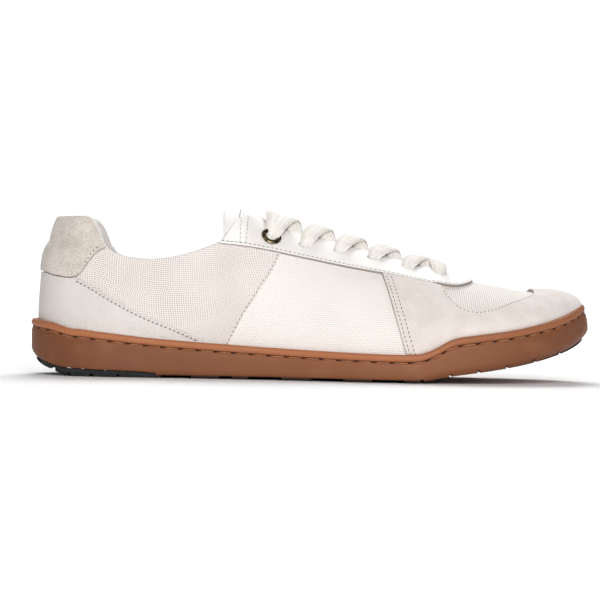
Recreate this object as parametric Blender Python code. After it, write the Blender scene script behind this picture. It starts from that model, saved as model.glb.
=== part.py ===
"""A low barefoot trainer for the right foot: gum cup sole, mesh upper, suede and leather overlays.

The shoe points along +X with the wearer's outer (lateral) side towards -Y and stands on z = 0.
Everything is worked out from the named sizes below, in metres. Tables hold shares of those sizes.

The last is described by ribs. A rib starts at the feather line, where upper and sole meet, and
runs up and inwards to the spine above the foot. Going round the shoe, a rib's place is one number:
0 heel back, 1 to 2 lateral side, 3 toe tip, 4 to 5 medial side, 6 heel back again.
"""

import math
from collections import namedtuple

import bmesh
import bpy
import numpy as np
from mathutils import Vector

# Overall sizes of the shoe
SHOE_LENGTH = 0.286
BALL_WIDTH = 0.102
HEEL_WIDTH = 0.070
HEEL_HEIGHT = 0.0802
COLLAR_HEIGHT = 0.0588
INSTEP_HEIGHT = 0.0800
TOE_BOX_HEIGHT = 0.0342
TOE_SPRING = 0.0240
HEEL_BEVEL = 0.0105
# How much of the heel's bevel the inside of the cup follows.
FLOOR_BEVEL = 0.80

# Sole
SOLE_BASE = 0.0050
LUG_DEPTH = 0.0015
HEEL_WALL = 0.0236
WAIST_WALL = 0.0140
TOE_WALL = 0.0183
RIM_WIDTH = 0.0043
BEAD_HEIGHT = 0.0040
STITCH_GROOVE = 0.0008
HEEL_TREAD_LENGTH = 0.0660
NARROW_NOTCH = 0.0014
INSOLE_THICKNESS = 0.0035

# Upper and what is on it
WALL = 0.0020
COLLAR_PADDING = 0.0026
PADDING_DEPTH = 0.0220
OVERLAY = 0.0012
TAB_THICKNESS = 0.0017
THROAT_GAP = 0.0200
THROAT_START = 0.1150
THROAT_END = 0.2125
EYESTAY_TOP = 0.0955
EYESTAY_FRONT = 0.2255
# Below 1 the eyestay's front corners are squarer than an ellipse's.
EYESTAY_CORNER = 0.78
TONGUE_THICKNESS = 0.0032
TONGUE_WIDTH = 0.0520
TONGUE_SLACK = 0.0008
GAP = 0.0003
# The overlays are flat-sided too, so they keep a little more than the gap.
OVERLAY_GAP = 0.0005

# Lacing
EYELET_PAIRS = 6
EYELET_FIRST = 0.1215
EYELET_LAST = 0.2070
EYELET_SETBACK = 0.0075
HOLE_RADIUS = 0.0024
RING_RADIUS = 0.0048
RING_THICKNESS = 0.0009
LACE_WIDTH = 0.0085
LACE_THICKNESS = 0.0013
# How much of the way to the next hole a lace shows before it goes under the other side.
LACE_REACH = 0.66
# How much of its thickness the upper strand of a crossing rises over the lower one.
LACE_OVER = 0.45

# How finely the solids are cut
HEEL_RIBS = 6
SIDE_RIBS = 17
TOE_RIBS = 7
# Extra ribs where the collar rises to the throat, and where the sole's wall steps up past the waist.
STEP_RIBS = (0.350, 0.378, 0.402, 0.694, 0.712, 0.730, 0.750)

HEEL_POLE = 0.132
TOE_POLE = 0.892

OutlineRow = namedtuple("OutlineRow", "along across")
# Along is a share of the length, across a share of half the local width, lateral negative.
OUTLINE = (
    OutlineRow(0.000, 0.00),
    OutlineRow(0.018, -0.50),
    OutlineRow(0.058, -0.82),
    OutlineRow(0.130, -1.00),
    OutlineRow(0.220, -1.01),
    OutlineRow(0.335, -0.97),
    OutlineRow(0.460, -0.92),
    OutlineRow(0.580, -0.97),
    OutlineRow(0.685, -1.00),
    OutlineRow(0.780, -0.975),
    OutlineRow(0.865, -0.845),
    OutlineRow(0.932, -0.590),
    OutlineRow(0.980, -0.230),
    OutlineRow(1.000, 0.170),
    OutlineRow(0.988, 0.500),
    OutlineRow(0.950, 0.760),
    OutlineRow(0.885, 0.930),
    OutlineRow(0.800, 1.000),
    OutlineRow(0.715, 1.000),
    OutlineRow(0.620, 0.920),
    OutlineRow(0.520, 0.810),
    OutlineRow(0.420, 0.780),
    OutlineRow(0.320, 0.860),
    OutlineRow(0.220, 0.960),
    OutlineRow(0.130, 0.980),
    OutlineRow(0.058, 0.810),
    OutlineRow(0.018, 0.500),
)

SoleRow = namedtuple("SoleRow", "along lift bevel heel_wall toe_wall")
# Lift is a share of the toe spring, bevel of the heel bevel. The wall is the waist's height plus
# a share of what the heel or the toe wall has more than that.
SOLE_SIDE = (
    SoleRow(0.000, 0.000, 1.000, 0.42, 0.00),
    SoleRow(0.022, 0.000, 0.560, 0.78, 0.00),
    SoleRow(0.044, 0.000, 0.310, 0.96, 0.00),
    SoleRow(0.066, 0.000, 0.110, 1.00, 0.00),
    SoleRow(0.086, 0.000, 0.000, 1.00, 0.00),
    SoleRow(0.135, 0.000, 0.000, 0.86, 0.00),
    SoleRow(0.221, 0.000, 0.000, 0.60, 0.00),
    SoleRow(0.308, 0.000, 0.000, 0.42, 0.00),
    SoleRow(0.445, 0.000, 0.000, 0.20, 0.00),
    SoleRow(0.567, 0.000, 0.000, 0.05, 0.00),
    SoleRow(0.655, 0.000, 0.000, 0.00, 0.00),
    SoleRow(0.684, 0.012, 0.000, 0.00, 0.02),
    SoleRow(0.703, 0.065, 0.000, 0.00, 0.10),
    SoleRow(0.720, 0.110, 0.000, 0.00, 0.42),
    SoleRow(0.737, 0.145, 0.000, 0.00, 0.86),
    SoleRow(0.755, 0.182, 0.000, 0.00, 1.05),
    SoleRow(0.790, 0.240, 0.000, 0.00, 1.05),
    SoleRow(0.840, 0.340, 0.000, 0.00, 0.97),
    SoleRow(0.880, 0.440, 0.000, 0.00, 0.93),
    SoleRow(0.933, 0.615, 0.000, 0.00, 0.90),
    SoleRow(0.970, 0.790, 0.000, 0.00, 0.85),
    SoleRow(1.000, 1.000, 0.000, 0.00, 0.60),
)

SpineRow = namedtuple("SpineRow", "along rise across lateral medial")
# Rise is the height over the sole's underside, from the toe box (0) to the instep (1). Across is a
# share of half the ball width. Lateral and medial say how boxy the section is: 2 is an ellipse.
SPINE = (
    SpineRow(0.132, 1.400, 0.00, 2.60, 2.60),
    SpineRow(0.260, 1.330, 0.00, 2.30, 2.30),
    SpineRow(0.345, 1.195, 0.00, 2.00, 2.05),
    SpineRow(0.372, 1.175, 0.00, 1.95, 2.00),
    SpineRow(0.397, 1.070, 0.00, 1.90, 1.97),
    SpineRow(0.425, 0.985, 0.01, 1.88, 1.95),
    SpineRow(0.500, 0.860, 0.03, 1.84, 1.95),
    SpineRow(0.580, 0.720, 0.05, 1.82, 2.00),
    SpineRow(0.660, 0.575, 0.08, 1.82, 2.10),
    SpineRow(0.722, 0.435, 0.11, 1.82, 2.20),
    SpineRow(0.760, 0.325, 0.13, 1.84, 2.25),
    SpineRow(0.788, 0.250, 0.15, 1.86, 2.30),
    SpineRow(0.840, 0.130, 0.17, 1.90, 2.35),
    SpineRow(0.892, 0.010, 0.18, 2.05, 2.40),
)

LeanRow = namedtuple("LeanRow", "height back side")
# How far the wall leans in above the sole, as a share of the heel width, where the rib has risen
# to this share of the heel height. The step at 0.83 is the crease under the padded heel tab.
LEAN = (
    LeanRow(0.00, 0.000, 0.000),
    LeanRow(0.34, 0.000, 0.010),
    LeanRow(0.55, 0.012, 0.045),
    LeanRow(0.66, 0.022, 0.075),
    LeanRow(0.74, 0.036, 0.100),
    LeanRow(0.80, 0.060, 0.112),
    LeanRow(0.835, 0.090, 0.121),
    LeanRow(0.88, 0.100, 0.130),
    LeanRow(0.94, 0.116, 0.142),
    LeanRow(1.00, 0.140, 0.160),
    LeanRow(1.25, 0.300, 0.300),
)

CollarRow = namedtuple("CollarRow", "along height")
# The collar's edge: 0 is the dip at the ankle, 1 the top of the heel.
COLLAR = (
    CollarRow(0.000, 1.00),
    CollarRow(0.080, 1.00),
    CollarRow(0.098, 0.945),
    CollarRow(0.112, 0.80),
    CollarRow(0.127, 0.50),
    CollarRow(0.138, 0.25),
    CollarRow(0.155, 0.11),
    CollarRow(0.181, 0.04),
    CollarRow(0.216, 0.00),
    CollarRow(0.251, 0.055),
    CollarRow(0.286, 0.17),
    CollarRow(0.333, 0.40),
    CollarRow(0.360, 0.56),
)

SeamRow = namedtuple("SeamRow", "along height")
# Seen from the side: shares of the length and of the heel height.
EYESTAY_SEAM = (
    SeamRow(0.333, 0.842),
    SeamRow(0.373, 0.828),
    SeamRow(0.425, 0.797),
    SeamRow(0.496, 0.746),
    SeamRow(0.566, 0.697),
    SeamRow(0.636, 0.655),
    SeamRow(0.700, 0.612),
    SeamRow(0.735, 0.590),
)
VAMP_SEAM = (
    SeamRow(0.724, 0.590),
    SeamRow(0.739, 0.526),
    SeamRow(0.750, 0.482),
    SeamRow(0.766, 0.456),
    SeamRow(0.785, 0.447),
    SeamRow(0.809, 0.458),
    SeamRow(0.844, 0.494),
    SeamRow(0.870, 0.520),
    SeamRow(0.892, 0.545),
)
TAB_SEAM = (
    SeamRow(0.000, 0.662),
    SeamRow(0.024, 0.650),
    SeamRow(0.045, 0.625),
    SeamRow(0.073, 0.612),
    SeamRow(0.086, 0.626),
    SeamRow(0.097, 0.676),
    SeamRow(0.108, 0.735),
    SeamRow(0.122, 0.780),
    SeamRow(0.138, 0.800),
)
COUNTER_SEAM = (
    SeamRow(0.082, 0.603),
    SeamRow(0.113, 0.553),
    SeamRow(0.149, 0.482),
    SeamRow(0.202, 0.387),
    SeamRow(0.255, 0.316),
    SeamRow(0.302, 0.247),
)
SUEDE_EDGE_TOP = 0.622
SUEDE_EDGE_FOOT = 0.673
# How far below the eyestay's seam the suede ends, as a share of the way up the rib. The medial
# side is steeper and curves more between two ribs.
LATERAL_LAP = 0.004
MEDIAL_LAP = 0.011
# How far the vamp reaches in front of the toe's pole.
VAMP_TIP = 0.0060
# The most of the way down to the rim that the vamp takes on the medial side.
VAMP_SHARE = 0.80

NotchRow = namedtuple("NotchRow", "along width")
# Grooves across the tread: wide ones in the waist, narrow ones under heel and ball.
NOTCHES = (
    NotchRow(0.048, 0.0030),
    NotchRow(0.077, NARROW_NOTCH),
    NotchRow(0.118, NARROW_NOTCH),
    NotchRow(0.166, NARROW_NOTCH),
    NotchRow(0.266, 0.0150),
    NotchRow(0.352, 0.0060),
    NotchRow(0.420, 0.0160),
    NotchRow(0.528, 0.0160),
    NotchRow(0.632, 0.0160),
    NotchRow(0.690, NARROW_NOTCH),
    NotchRow(0.739, NARROW_NOTCH),
    NotchRow(0.788, NARROW_NOTCH),
    NotchRow(0.838, NARROW_NOTCH),
    NotchRow(0.888, NARROW_NOTCH),
    NotchRow(0.936, NARROW_NOTCH),
)
# The groove along the middle of the tread.
CHANNEL_WIDTH = 0.0024
CHANNEL = (0.10, 0.93)

TreadRow = namedtuple("TreadRow", "along height")
# The top of the slate tread: shares of its length and of the heel's bevel.
HEEL_TREAD = (
    TreadRow(-0.10, 1.100),
    TreadRow(0.05, 0.870),
    TreadRow(0.14, 0.640),
    TreadRow(0.27, 0.430),
    TreadRow(0.42, 0.360),
    TreadRow(0.60, 0.315),
    TreadRow(0.82, 0.285),
    TreadRow(1.00, 0.210),
)

GUM = ("gum_rubber", (0.36, 0.16, 0.075), 0.55)
SLATE = ("slate_rubber", (0.10, 0.12, 0.14), 0.65)
MESH = ("white_mesh", (0.83, 0.79, 0.75), 0.85)
LEATHER = ("white_leather", (0.80, 0.78, 0.77), 0.50)
SUEDE = ("pale_suede", (0.70, 0.66, 0.62), 0.95)
COTTON = ("cotton_lace", (0.85, 0.81, 0.74), 0.90)
FOAM = ("insole_foam", (0.78, 0.75, 0.71), 0.90)
BRASS = ("aged_brass", (0.28, 0.21, 0.10), 0.35)


def column(rows, name):
    """One column of a table as an array."""
    return np.array([getattr(row, name) for row in rows], float)


def eased(rows, name, at):
    """A table's column read along its first one, smoothly and without overshoot."""
    xs, ys = column(rows, rows[0]._fields[0]), column(rows, name)
    at = np.clip(np.asarray(at, float), xs[0], xs[-1])
    steps = np.diff(xs)
    rises = np.diff(ys) / steps
    slopes = np.zeros(len(xs))
    both = rises[:-1] * rises[1:] > 0
    slopes[1:-1][both] = 2 * rises[:-1][both] * rises[1:][both] / (rises[:-1][both] + rises[1:][both])
    slopes[0], slopes[-1] = rises[0], rises[-1]
    k = np.clip(np.searchsorted(xs, at, side="right") - 1, 0, len(xs) - 2)
    t = (at - xs[k]) / steps[k]
    near = (1 + 2 * t) * (1 - t) ** 2 * ys[k] + t * (1 - t) ** 2 * steps[k] * slopes[k]
    return near + t * t * (3 - 2 * t) * ys[k + 1] + t * t * (t - 1) * steps[k] * slopes[k + 1]


def ramp(value, low, high):
    """0 below low, 1 above high, and a smooth step between."""
    t = np.clip((np.asarray(value, float) - low) / (high - low), 0, 1)
    return t * t * (3 - 2 * t)


def width_at(along):
    """Half the local width: the heel's behind the waist, the ball's in front of it."""
    return (HEEL_WIDTH + (BALL_WIDTH - HEEL_WIDTH) * ramp(along, 0.22, 0.66)) / 2


def closed_curve(points, count):
    """A smooth closed curve through the points, as count points equally far apart."""
    chords = np.linalg.norm(np.roll(points, -1, axis=0) - points, axis=1)
    n = len(points)
    matrix, right = np.zeros((n, n)), np.zeros((n, 2))
    for i in range(n):
        back, ahead = chords[i - 1], chords[i]
        matrix[i, i - 1], matrix[i, i], matrix[i, (i + 1) % n] = ahead, 2 * (back + ahead), back
        before, after = points[i] - points[i - 1], points[(i + 1) % n] - points[i]
        right[i] = 3 * (ahead / back * before + back / ahead * after)
    tangents = np.linalg.solve(matrix, right)
    dense = []
    for i in range(n):
        t = np.linspace(0, 1, 40, endpoint=False)[:, None]
        a, b = points[i], points[(i + 1) % n]
        ta, tb = tangents[i] * chords[i], tangents[(i + 1) % n] * chords[i]
        dense.append(
            (1 + 2 * t) * (1 - t) ** 2 * a
            + t * (1 - t) ** 2 * ta
            + t * t * (3 - 2 * t) * b
            + t * t * (t - 1) * tb
        )
    dense = np.concatenate(dense)
    closed = np.vstack([dense, dense[:1]])
    lengths = np.concatenate([[0], np.cumsum(np.linalg.norm(np.diff(closed, axis=0), axis=1))])
    at = np.linspace(0, lengths[-1], count, endpoint=False)
    return np.stack([np.interp(at, lengths, closed[:, k]) for k in (0, 1)], axis=1)


def sole_outline():
    """The sole's outer edge seen from above, from the heel round the lateral side."""
    along = column(OUTLINE, "along")
    points = np.stack([along * SHOE_LENGTH, column(OUTLINE, "across") * width_at(along)], axis=1)
    return closed_curve(points, 900)


EDGE = sole_outline()
# The frame's origin is on the floor, under the middle of the sole's outline.
ORIGIN = np.array([*(EDGE.min(axis=0) + EDGE.max(axis=0)) / 2, 0.0])


def inset_outline(inset):
    """The outline moved inwards by a distance."""
    ahead = np.roll(EDGE, -1, axis=0) - np.roll(EDGE, 1, axis=0)
    ahead /= np.linalg.norm(ahead, axis=1)[:, None]
    return EDGE + np.stack([-ahead[:, 1], ahead[:, 0]], axis=1) * inset


def foot(place, inset):
    """Where ribs at these places start, on the outline moved inwards: x and y."""
    place = np.mod(np.asarray(place, float), 6)
    edge = inset_outline(inset)
    heel, toe = int(np.argmin(edge[:, 0])), int(np.argmax(edge[:, 0]))
    edge, toe = np.roll(edge, -heel, axis=0), (toe - heel) % len(edge)
    lateral, medial = edge[: toe + 1], np.vstack([edge[toe:], edge[:1]])[::-1]
    x, y = np.zeros_like(place), np.zeros_like(place)
    poles = HEEL_POLE * SHOE_LENGTH, TOE_POLE * SHOE_LENGTH
    for side, on_side in ((lateral, place <= 3), (medial, place > 3)):
        way = np.where(place <= 3, place, 6 - place)
        run = np.concatenate([[0], np.cumsum(np.linalg.norm(np.diff(side, axis=0), axis=1))])
        starts = np.interp(poles[0], side[:, 0], run), np.interp(poles[1], side[:, 0], run)
        far = np.interp(poles[0] + (way - 1) * (poles[1] - poles[0]), side[:, 0], run)
        far = np.where(way < 1, way * starts[0], far)
        far = np.where(way > 2, starts[1] + (way - 2) * (run[-1] - starts[1]), far)
        x = np.where(on_side, np.interp(far, run, side[:, 0]), x)
        y = np.where(on_side, np.interp(far, run, side[:, 1]), y)
    return x, y


def spine_x(place):
    """How far forward the ribs' inner ends are: fans share the heel's and the toe's pole."""
    way = np.where(np.mod(place, 6) <= 3, np.mod(place, 6), 6 - np.mod(place, 6))
    share = HEEL_POLE + (np.clip(way, 1, 2) - 1) * (TOE_POLE - HEEL_POLE)
    return share * SHOE_LENGTH


def underside(x):
    """The tread's height: flat under the foot, with the toe spring and the heel's bevel."""
    along = np.asarray(x, float) / SHOE_LENGTH
    return TOE_SPRING * eased(SOLE_SIDE, "lift", along) + HEEL_BEVEL * eased(SOLE_SIDE, "bevel", along)


def cup_floor(x):
    """The inside of the cup, on which the upper and the insole stand."""
    along = np.asarray(x, float) / SHOE_LENGTH
    bevel = FLOOR_BEVEL * HEEL_BEVEL * eased(SOLE_SIDE, "bevel", along)
    return SOLE_BASE + TOE_SPRING * eased(SOLE_SIDE, "lift", along) + bevel


def rim_height(x):
    """The top of the sole's side wall."""
    along = np.asarray(x, float) / SHOE_LENGTH
    more_heel = (HEEL_WALL - WAIST_WALL) * eased(SOLE_SIDE, "heel_wall", along)
    more_toe = (TOE_WALL - WAIST_WALL) * eased(SOLE_SIDE, "toe_wall", along)
    return underside(x) + WAIST_WALL + more_heel + more_toe


def spine_height(x):
    """The top of the last above its spine. Behind the instep this is the closed ankle of the last."""
    rise = eased(SPINE, "rise", np.asarray(x, float) / SHOE_LENGTH)
    return underside(x) + TOE_BOX_HEIGHT + (INSTEP_HEIGHT - TOE_BOX_HEIGHT) * rise


def spine_y(x):
    """How far the spine lies towards the big toe."""
    return eased(SPINE, "across", np.asarray(x, float) / SHOE_LENGTH) * BALL_WIDTH / 2


def boxiness(place):
    """The section's roundness at these places, blended round heel and toe."""
    along = spine_x(place) / SHOE_LENGTH
    around = np.mod(place, 6)
    medial = ramp(around, 2.2, 3.8) * (1 - ramp(around, 5.2, 6.0)) + 0.5 * ramp(around, 5.2, 6.0)
    medial = medial + 0.5 * (1 - ramp(around, 0.0, 0.8))
    return (1 - medial) * eased(SPINE, "lateral", along) + medial * eased(SPINE, "medial", along)


def last_point(place, rise, inset=RIM_WIDTH + GAP):
    """Points of the last's surface. Rise is -1 on the cup's floor, 0 at the sole's rim, 1 at the spine."""
    place, rise = np.broadcast_arrays(np.asarray(place, float), np.asarray(rise, float))
    fx, fy = foot(place, inset)
    sx = spine_x(place)
    sy, sz = spine_y(sx), spine_height(sx)
    rim, floor = rim_height(fx), cup_floor(fx) + GAP
    reach = np.hypot(sx - fx, sy - fy)
    step = 0.0015
    slope = (spine_height(sx + step) - spine_height(sx - step)) / (2 * step) * (fx - sx) / reach
    slope = slope * ramp(np.abs(fx - sx), 0.0, 0.02) * (sx > 0.5 * SHOE_LENGTH)
    up = np.clip(rise, 0, 1) * math.pi / 2
    power = 2 / boxiness(place)
    height = np.sin(up) ** power
    inward = 1 - np.cos(up) ** power
    z = rim + (sz - rim + slope * reach) * height - slope * reach * inward
    lean_height = z / HEEL_HEIGHT
    back = np.clip((sx - fx) / reach, 0, 1) ** 2
    lean = back * eased(LEAN, "back", lean_height) + (1 - back) * eased(LEAN, "side", lean_height)
    rear = (1 - ramp(fx / SHOE_LENGTH, 0.30, 0.46)) * (1 - ramp(rise, 0.52, 0.98))
    inward = (1 - rear) * inward + rear * np.minimum(lean * HEEL_WIDTH / reach, 0.9)
    z = np.where(rise < 0, rim + (rim - floor) * rise, z)
    inward = np.where(rise < 0, 0, inward)
    return np.stack([fx + (sx - fx) * inward, fy + (sy - fy) * inward, z], axis=-1)


def last_normal(place, rise):
    """Outward unit normals of the last's surface."""
    place, rise = np.broadcast_arrays(np.asarray(place, float), np.asarray(rise, float))
    rise = np.clip(rise, -0.98, 0.985)
    step = 0.004
    around = last_point(place + step, rise) - last_point(place - step, rise)
    upward = last_point(place, rise + step) - last_point(place, rise - step)
    normal = np.cross(around, upward)
    return normal / np.linalg.norm(normal, axis=-1)[..., None]


def on_last(place, rise, away):
    """Points at a distance outside the last's surface, or inside it where away is negative."""
    away = np.asarray(away, float)
    return last_point(place, rise) + last_normal(place, rise) * away[..., None]


def side_place(x, medial=False):
    """The place of the rib whose spine is this far forward."""
    poles = HEEL_POLE * SHOE_LENGTH, TOE_POLE * SHOE_LENGTH
    way = 1 + (np.asarray(x, float) - poles[0]) / (poles[1] - poles[0])
    return 6 - way if medial else way


def beside_spine(place, rise):
    """How far points of the last's surface are from their rib's spine, seen from above."""
    points = last_point(place, rise)
    x = spine_x(place)
    return np.hypot(points[..., 0] - x, points[..., 1] - spine_y(x))


def rise_at_height(place, z):
    """Where ribs at these places reach a height."""
    tries = np.linspace(0, 1, 161)
    found = []
    for one, goal in zip(np.ravel(place), np.ravel(np.broadcast_to(z, np.shape(place)))):
        heights = np.maximum.accumulate(last_point(one, tries)[:, 2])
        found.append(np.interp(goal, heights, tries))
    return np.array(found).reshape(np.shape(place))


def rise_at_reach(place, beside):
    """Where ribs at these places come this close to the spine, seen from above."""
    tries = np.linspace(0, 1, 161)
    found = []
    for one, goal in zip(np.ravel(place), np.ravel(np.broadcast_to(beside, np.shape(place)))):
        away = beside_spine(one, tries)[::-1]
        found.append(np.interp(goal, np.maximum.accumulate(away), tries[::-1]))
    return np.array(found).reshape(np.shape(place))


def throat_half(x):
    """Half the throat's width, rounded off at its front end."""
    half = THROAT_GAP / 2
    past = np.clip((np.asarray(x, float) - (THROAT_END - half)) / half, 0, 1)
    return half * np.sqrt(1 - past**2)


def collar_height(x):
    """The collar's height above the floor."""
    share = eased(COLLAR, "height", np.asarray(x, float) / SHOE_LENGTH)
    return COLLAR_HEIGHT + (HEEL_HEIGHT - COLLAR_HEIGHT) * share


def edge_rise(place):
    """How far up each rib the upper goes: to the collar, to the throat, or to the spine (1)."""
    place = np.asarray(place, float)
    fx = foot(place, RIM_WIDTH + GAP)[0]
    heights = rise_at_height(place, collar_height(fx))
    throat = rise_at_reach(place, throat_half(spine_x(place)))
    forward = ramp(fx, EYESTAY_TOP, THROAT_START)
    return np.where(fx >= THROAT_END - 1e-6, 1.0, heights + (throat - heights) * forward)


def seam_rise(rows, place):
    """Where a seam drawn from the side crosses ribs at these places."""
    fx = foot(place, RIM_WIDTH + GAP)[0]
    return rise_at_height(place, eased(rows, "height", fx / SHOE_LENGTH) * HEEL_HEIGHT)


def rim_rise(place):
    """Just above the sole's rim."""
    return rise_at_height(place, rim_height(foot(place, RIM_WIDTH + GAP)[0]) + GAP + OVERLAY / 2)


def paint(obj, finish):
    """Gives an object its material."""
    name, colour, roughness = finish
    material = bpy.data.materials.get(name)
    if material is None:
        material = bpy.data.materials.new(name)
        material.use_nodes = True
        shader = material.node_tree.nodes["Principled BSDF"]
        shader.inputs["Base Color"].default_value = (*colour, 1.0)
        shader.inputs["Roughness"].default_value = roughness
        shader.inputs["Metallic"].default_value = 1.0 if finish is BRASS else 0.0
    obj.data.materials.clear()
    obj.data.materials.append(material)


def solid(name, points, faces, finish):
    """A closed mesh object, moved to the frame's origin."""
    mesh = bpy.data.meshes.new(name)
    mesh.from_pydata([tuple(p) for p in np.asarray(points) - ORIGIN], [], faces)
    work = bmesh.new()
    work.from_mesh(mesh)
    bmesh.ops.remove_doubles(work, verts=work.verts, dist=0.00001)
    bmesh.ops.dissolve_degenerate(work, edges=work.edges, dist=0.000001)
    bmesh.ops.recalc_face_normals(work, faces=work.faces)
    work.to_mesh(mesh)
    work.free()
    mesh.shade_smooth()
    mesh.set_sharp_from_angle(angle=math.radians(40))
    obj = bpy.data.objects.new(name, mesh)
    bpy.context.scene.collection.objects.link(obj)
    paint(obj, finish)
    return obj


def grid_faces(rows, columns, start=0, flip=False):
    """Quads of a grid of points stored row after row."""
    faces = []
    for i in range(rows - 1):
        for j in range(columns - 1):
            a = start + i * columns + j
            quad = (a, a + 1, a + columns + 1, a + columns)
            faces.append(quad[::-1] if flip else quad)
    return faces


def sheet(name, outer, inner, finish):
    """A closed plate between two grids of points of the same shape."""
    rows, columns = outer.shape[:2]
    count = rows * columns
    points = np.concatenate([outer.reshape(-1, 3), inner.reshape(-1, 3)])
    faces = grid_faces(rows, columns) + grid_faces(rows, columns, count, flip=True)
    border = [(0, j) for j in range(columns)] + [(i, columns - 1) for i in range(1, rows)]
    border += [(rows - 1, j) for j in range(columns - 2, -1, -1)] + [(i, 0) for i in range(rows - 2, 0, -1)]
    ring = [i * columns + j for i, j in border]
    for a, b in zip(ring, ring[1:] + ring[:1]):
        faces.append((b, a, a + count, b + count))
    return solid(name, points, faces, finish)


def between(low, high, shares):
    """A grid of values, one row for each entry of low and high."""
    return low[:, None] + (high - low)[:, None] * np.asarray(shares)[None, :]


def overlay(name, places, low, high, thickness, finish, rows=6):
    """A panel on the last's surface, from one rise to another at each place."""
    shares = np.linspace(0, 1, rows)
    grid = places if places.ndim == 2 else np.repeat(places[:, None], rows, axis=1)
    rises = between(low, high, shares)
    outer = on_last(grid, rises, np.full(grid.shape, OVERLAY_GAP + thickness))
    inner = on_last(grid, rises, np.full(grid.shape, OVERLAY_GAP))
    return sheet(name, outer, inner, finish)


def hidden_cutter(name, points, faces):
    """A mesh that only cuts others."""
    cutter = solid(name, points, faces, GUM)
    cutter.hide_render = True
    cutter.display_type = "WIRE"
    return cutter


def boolean(obj, cutter, operation="DIFFERENCE"):
    """Cuts or joins with another mesh."""
    modifier = obj.modifiers.new(cutter.name, "BOOLEAN")
    modifier.operation = operation
    modifier.object = cutter
    modifier.solver = "EXACT"


def rib_places():
    """The places of the ribs that the sole and the upper are cut into."""
    heel = np.linspace(0, 1, HEEL_RIBS, endpoint=False)
    extra = side_place(np.array([*STEP_RIBS, THROAT_END / SHOE_LENGTH]) * SHOE_LENGTH)
    side = np.linspace(1, 2, SIDE_RIBS, endpoint=False)
    side = side[np.abs(side[:, None] - extra).min(axis=1) > 0.2 / SIDE_RIBS]
    side = np.sort(np.concatenate([side, extra]))
    toe = np.linspace(2, 3, TOE_RIBS + 1)
    half = np.concatenate([heel, side, toe])
    return np.concatenate([half, 6 - half[-2:0:-1]])


def stations(start, end):
    """The ribs' own places along the length between two points, with both points."""
    ribs = rib_places()
    xs = spine_x(ribs[(ribs > 1) & (ribs < 2)])
    return np.concatenate([[start], xs[(xs > start + 0.002) & (xs < end - 0.002)], [end]])


def profile_prism(xs, top, bottom, low_y, high_y):
    """Points and faces of a block between two curves seen from the side."""
    n = len(xs)
    loop = [(x, z) for x, z in zip(xs, top)] + [(x, z) for x, z in zip(xs[::-1], bottom[::-1])]
    points = [(x, low_y, z) for x, z in loop] + [(x, high_y, z) for x, z in loop]
    m = 2 * n
    faces = [tuple(range(m)), tuple(range(2 * m - 1, m - 1, -1))]
    faces += [(k, (k + 1) % m, (k + 1) % m + m, k + m) for k in range(m)]
    return points, faces


def joined(blocks):
    """Several blocks that don't touch, as one list of points and faces."""
    points, faces = [], []
    for block_points, block_faces in blocks:
        faces += [tuple(k + len(points) for k in face) for face in block_faces]
        points += list(block_points)
    return points, faces


def make_sole_body(name):
    """The cup with its side wall, before its tread is cut."""
    places = rib_places()
    groove = BEAD_HEIGHT + STITCH_GROOVE
    # Each ring: how far inside the outline, and its height from the tread (+) or the rim (-).
    rings = (
        (0.0026, 0.0, 0),
        (0.0009, 0.0014, 0),
        (0.0, 0.0040, 0),
        (0.0001, -groove - STITCH_GROOVE, 1),
        (STITCH_GROOVE, -groove, 1),
        (0.0002, -BEAD_HEIGHT, 1),
        (0.0, -BEAD_HEIGHT * 0.45, 1),
        (0.0009, -BEAD_HEIGHT * 0.10, 1),
        (0.0020, 0.0, 1),
        (RIM_WIDTH, 0.0, 1),
    )
    grid = []
    for inset, height, from_rim in rings:
        x, y = foot(places, inset)
        base = rim_height(x) if from_rim else underside(x)
        grid.append(np.stack([x, y, base + height], axis=1))
    x, y = foot(places, RIM_WIDTH)
    grid.append(np.stack([x, y, cup_floor(x)], axis=1))
    n, rows = len(places), len(grid)
    faces = [
        (r * n + k, r * n + (k + 1) % n, (r + 1) * n + (k + 1) % n, (r + 1) * n + k)
        for r in range(rows - 1)
        for k in range(n)
    ]
    points = np.concatenate(grid)
    for ring, height, flip in ((0, underside, True), (rows - 1, cup_floor, False)):
        edge = points[ring * n : (ring + 1) * n, :2]
        inner = np.stack([spine_x(places), np.zeros(n)], axis=1)
        cap = [np.column_stack([(m := edge + (inner - edge) * s), height(m[:, 0])]) for s in (0.25, 1)]
        start = len(points)
        points = np.concatenate([points, *cap])
        layers = [ring * n + np.arange(n)] + [start + k * n + np.arange(n) for k in range(2)]
        for low, high in zip(layers, layers[1:]):
            for k in range(n):
                quad = (low[k], low[(k + 1) % n], high[(k + 1) % n], high[k])
                faces.append(quad[::-1] if flip else quad)
    return solid(name, points, faces, GUM)


def tread_cutters():
    """Grooves across and along the tread."""
    across, along = [], []
    for row in NOTCHES:
        middle = row.along * SHOE_LENGTH
        xs = np.linspace(middle - row.width / 2, middle + row.width / 2, 4)
        across.append(profile_prism(xs, underside(xs) + LUG_DEPTH, underside(xs) - 0.02, -0.08, 0.08))
    xs = np.linspace(*CHANNEL, 12) * SHOE_LENGTH
    half = CHANNEL_WIDTH / 2
    along.append(profile_prism(xs, underside(xs) + LUG_DEPTH, underside(xs) - 0.02, -half, half))
    return (
        hidden_cutter("cut_across", *joined(across)),
        hidden_cutter("cut_along", *joined(along)),
    )


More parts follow.
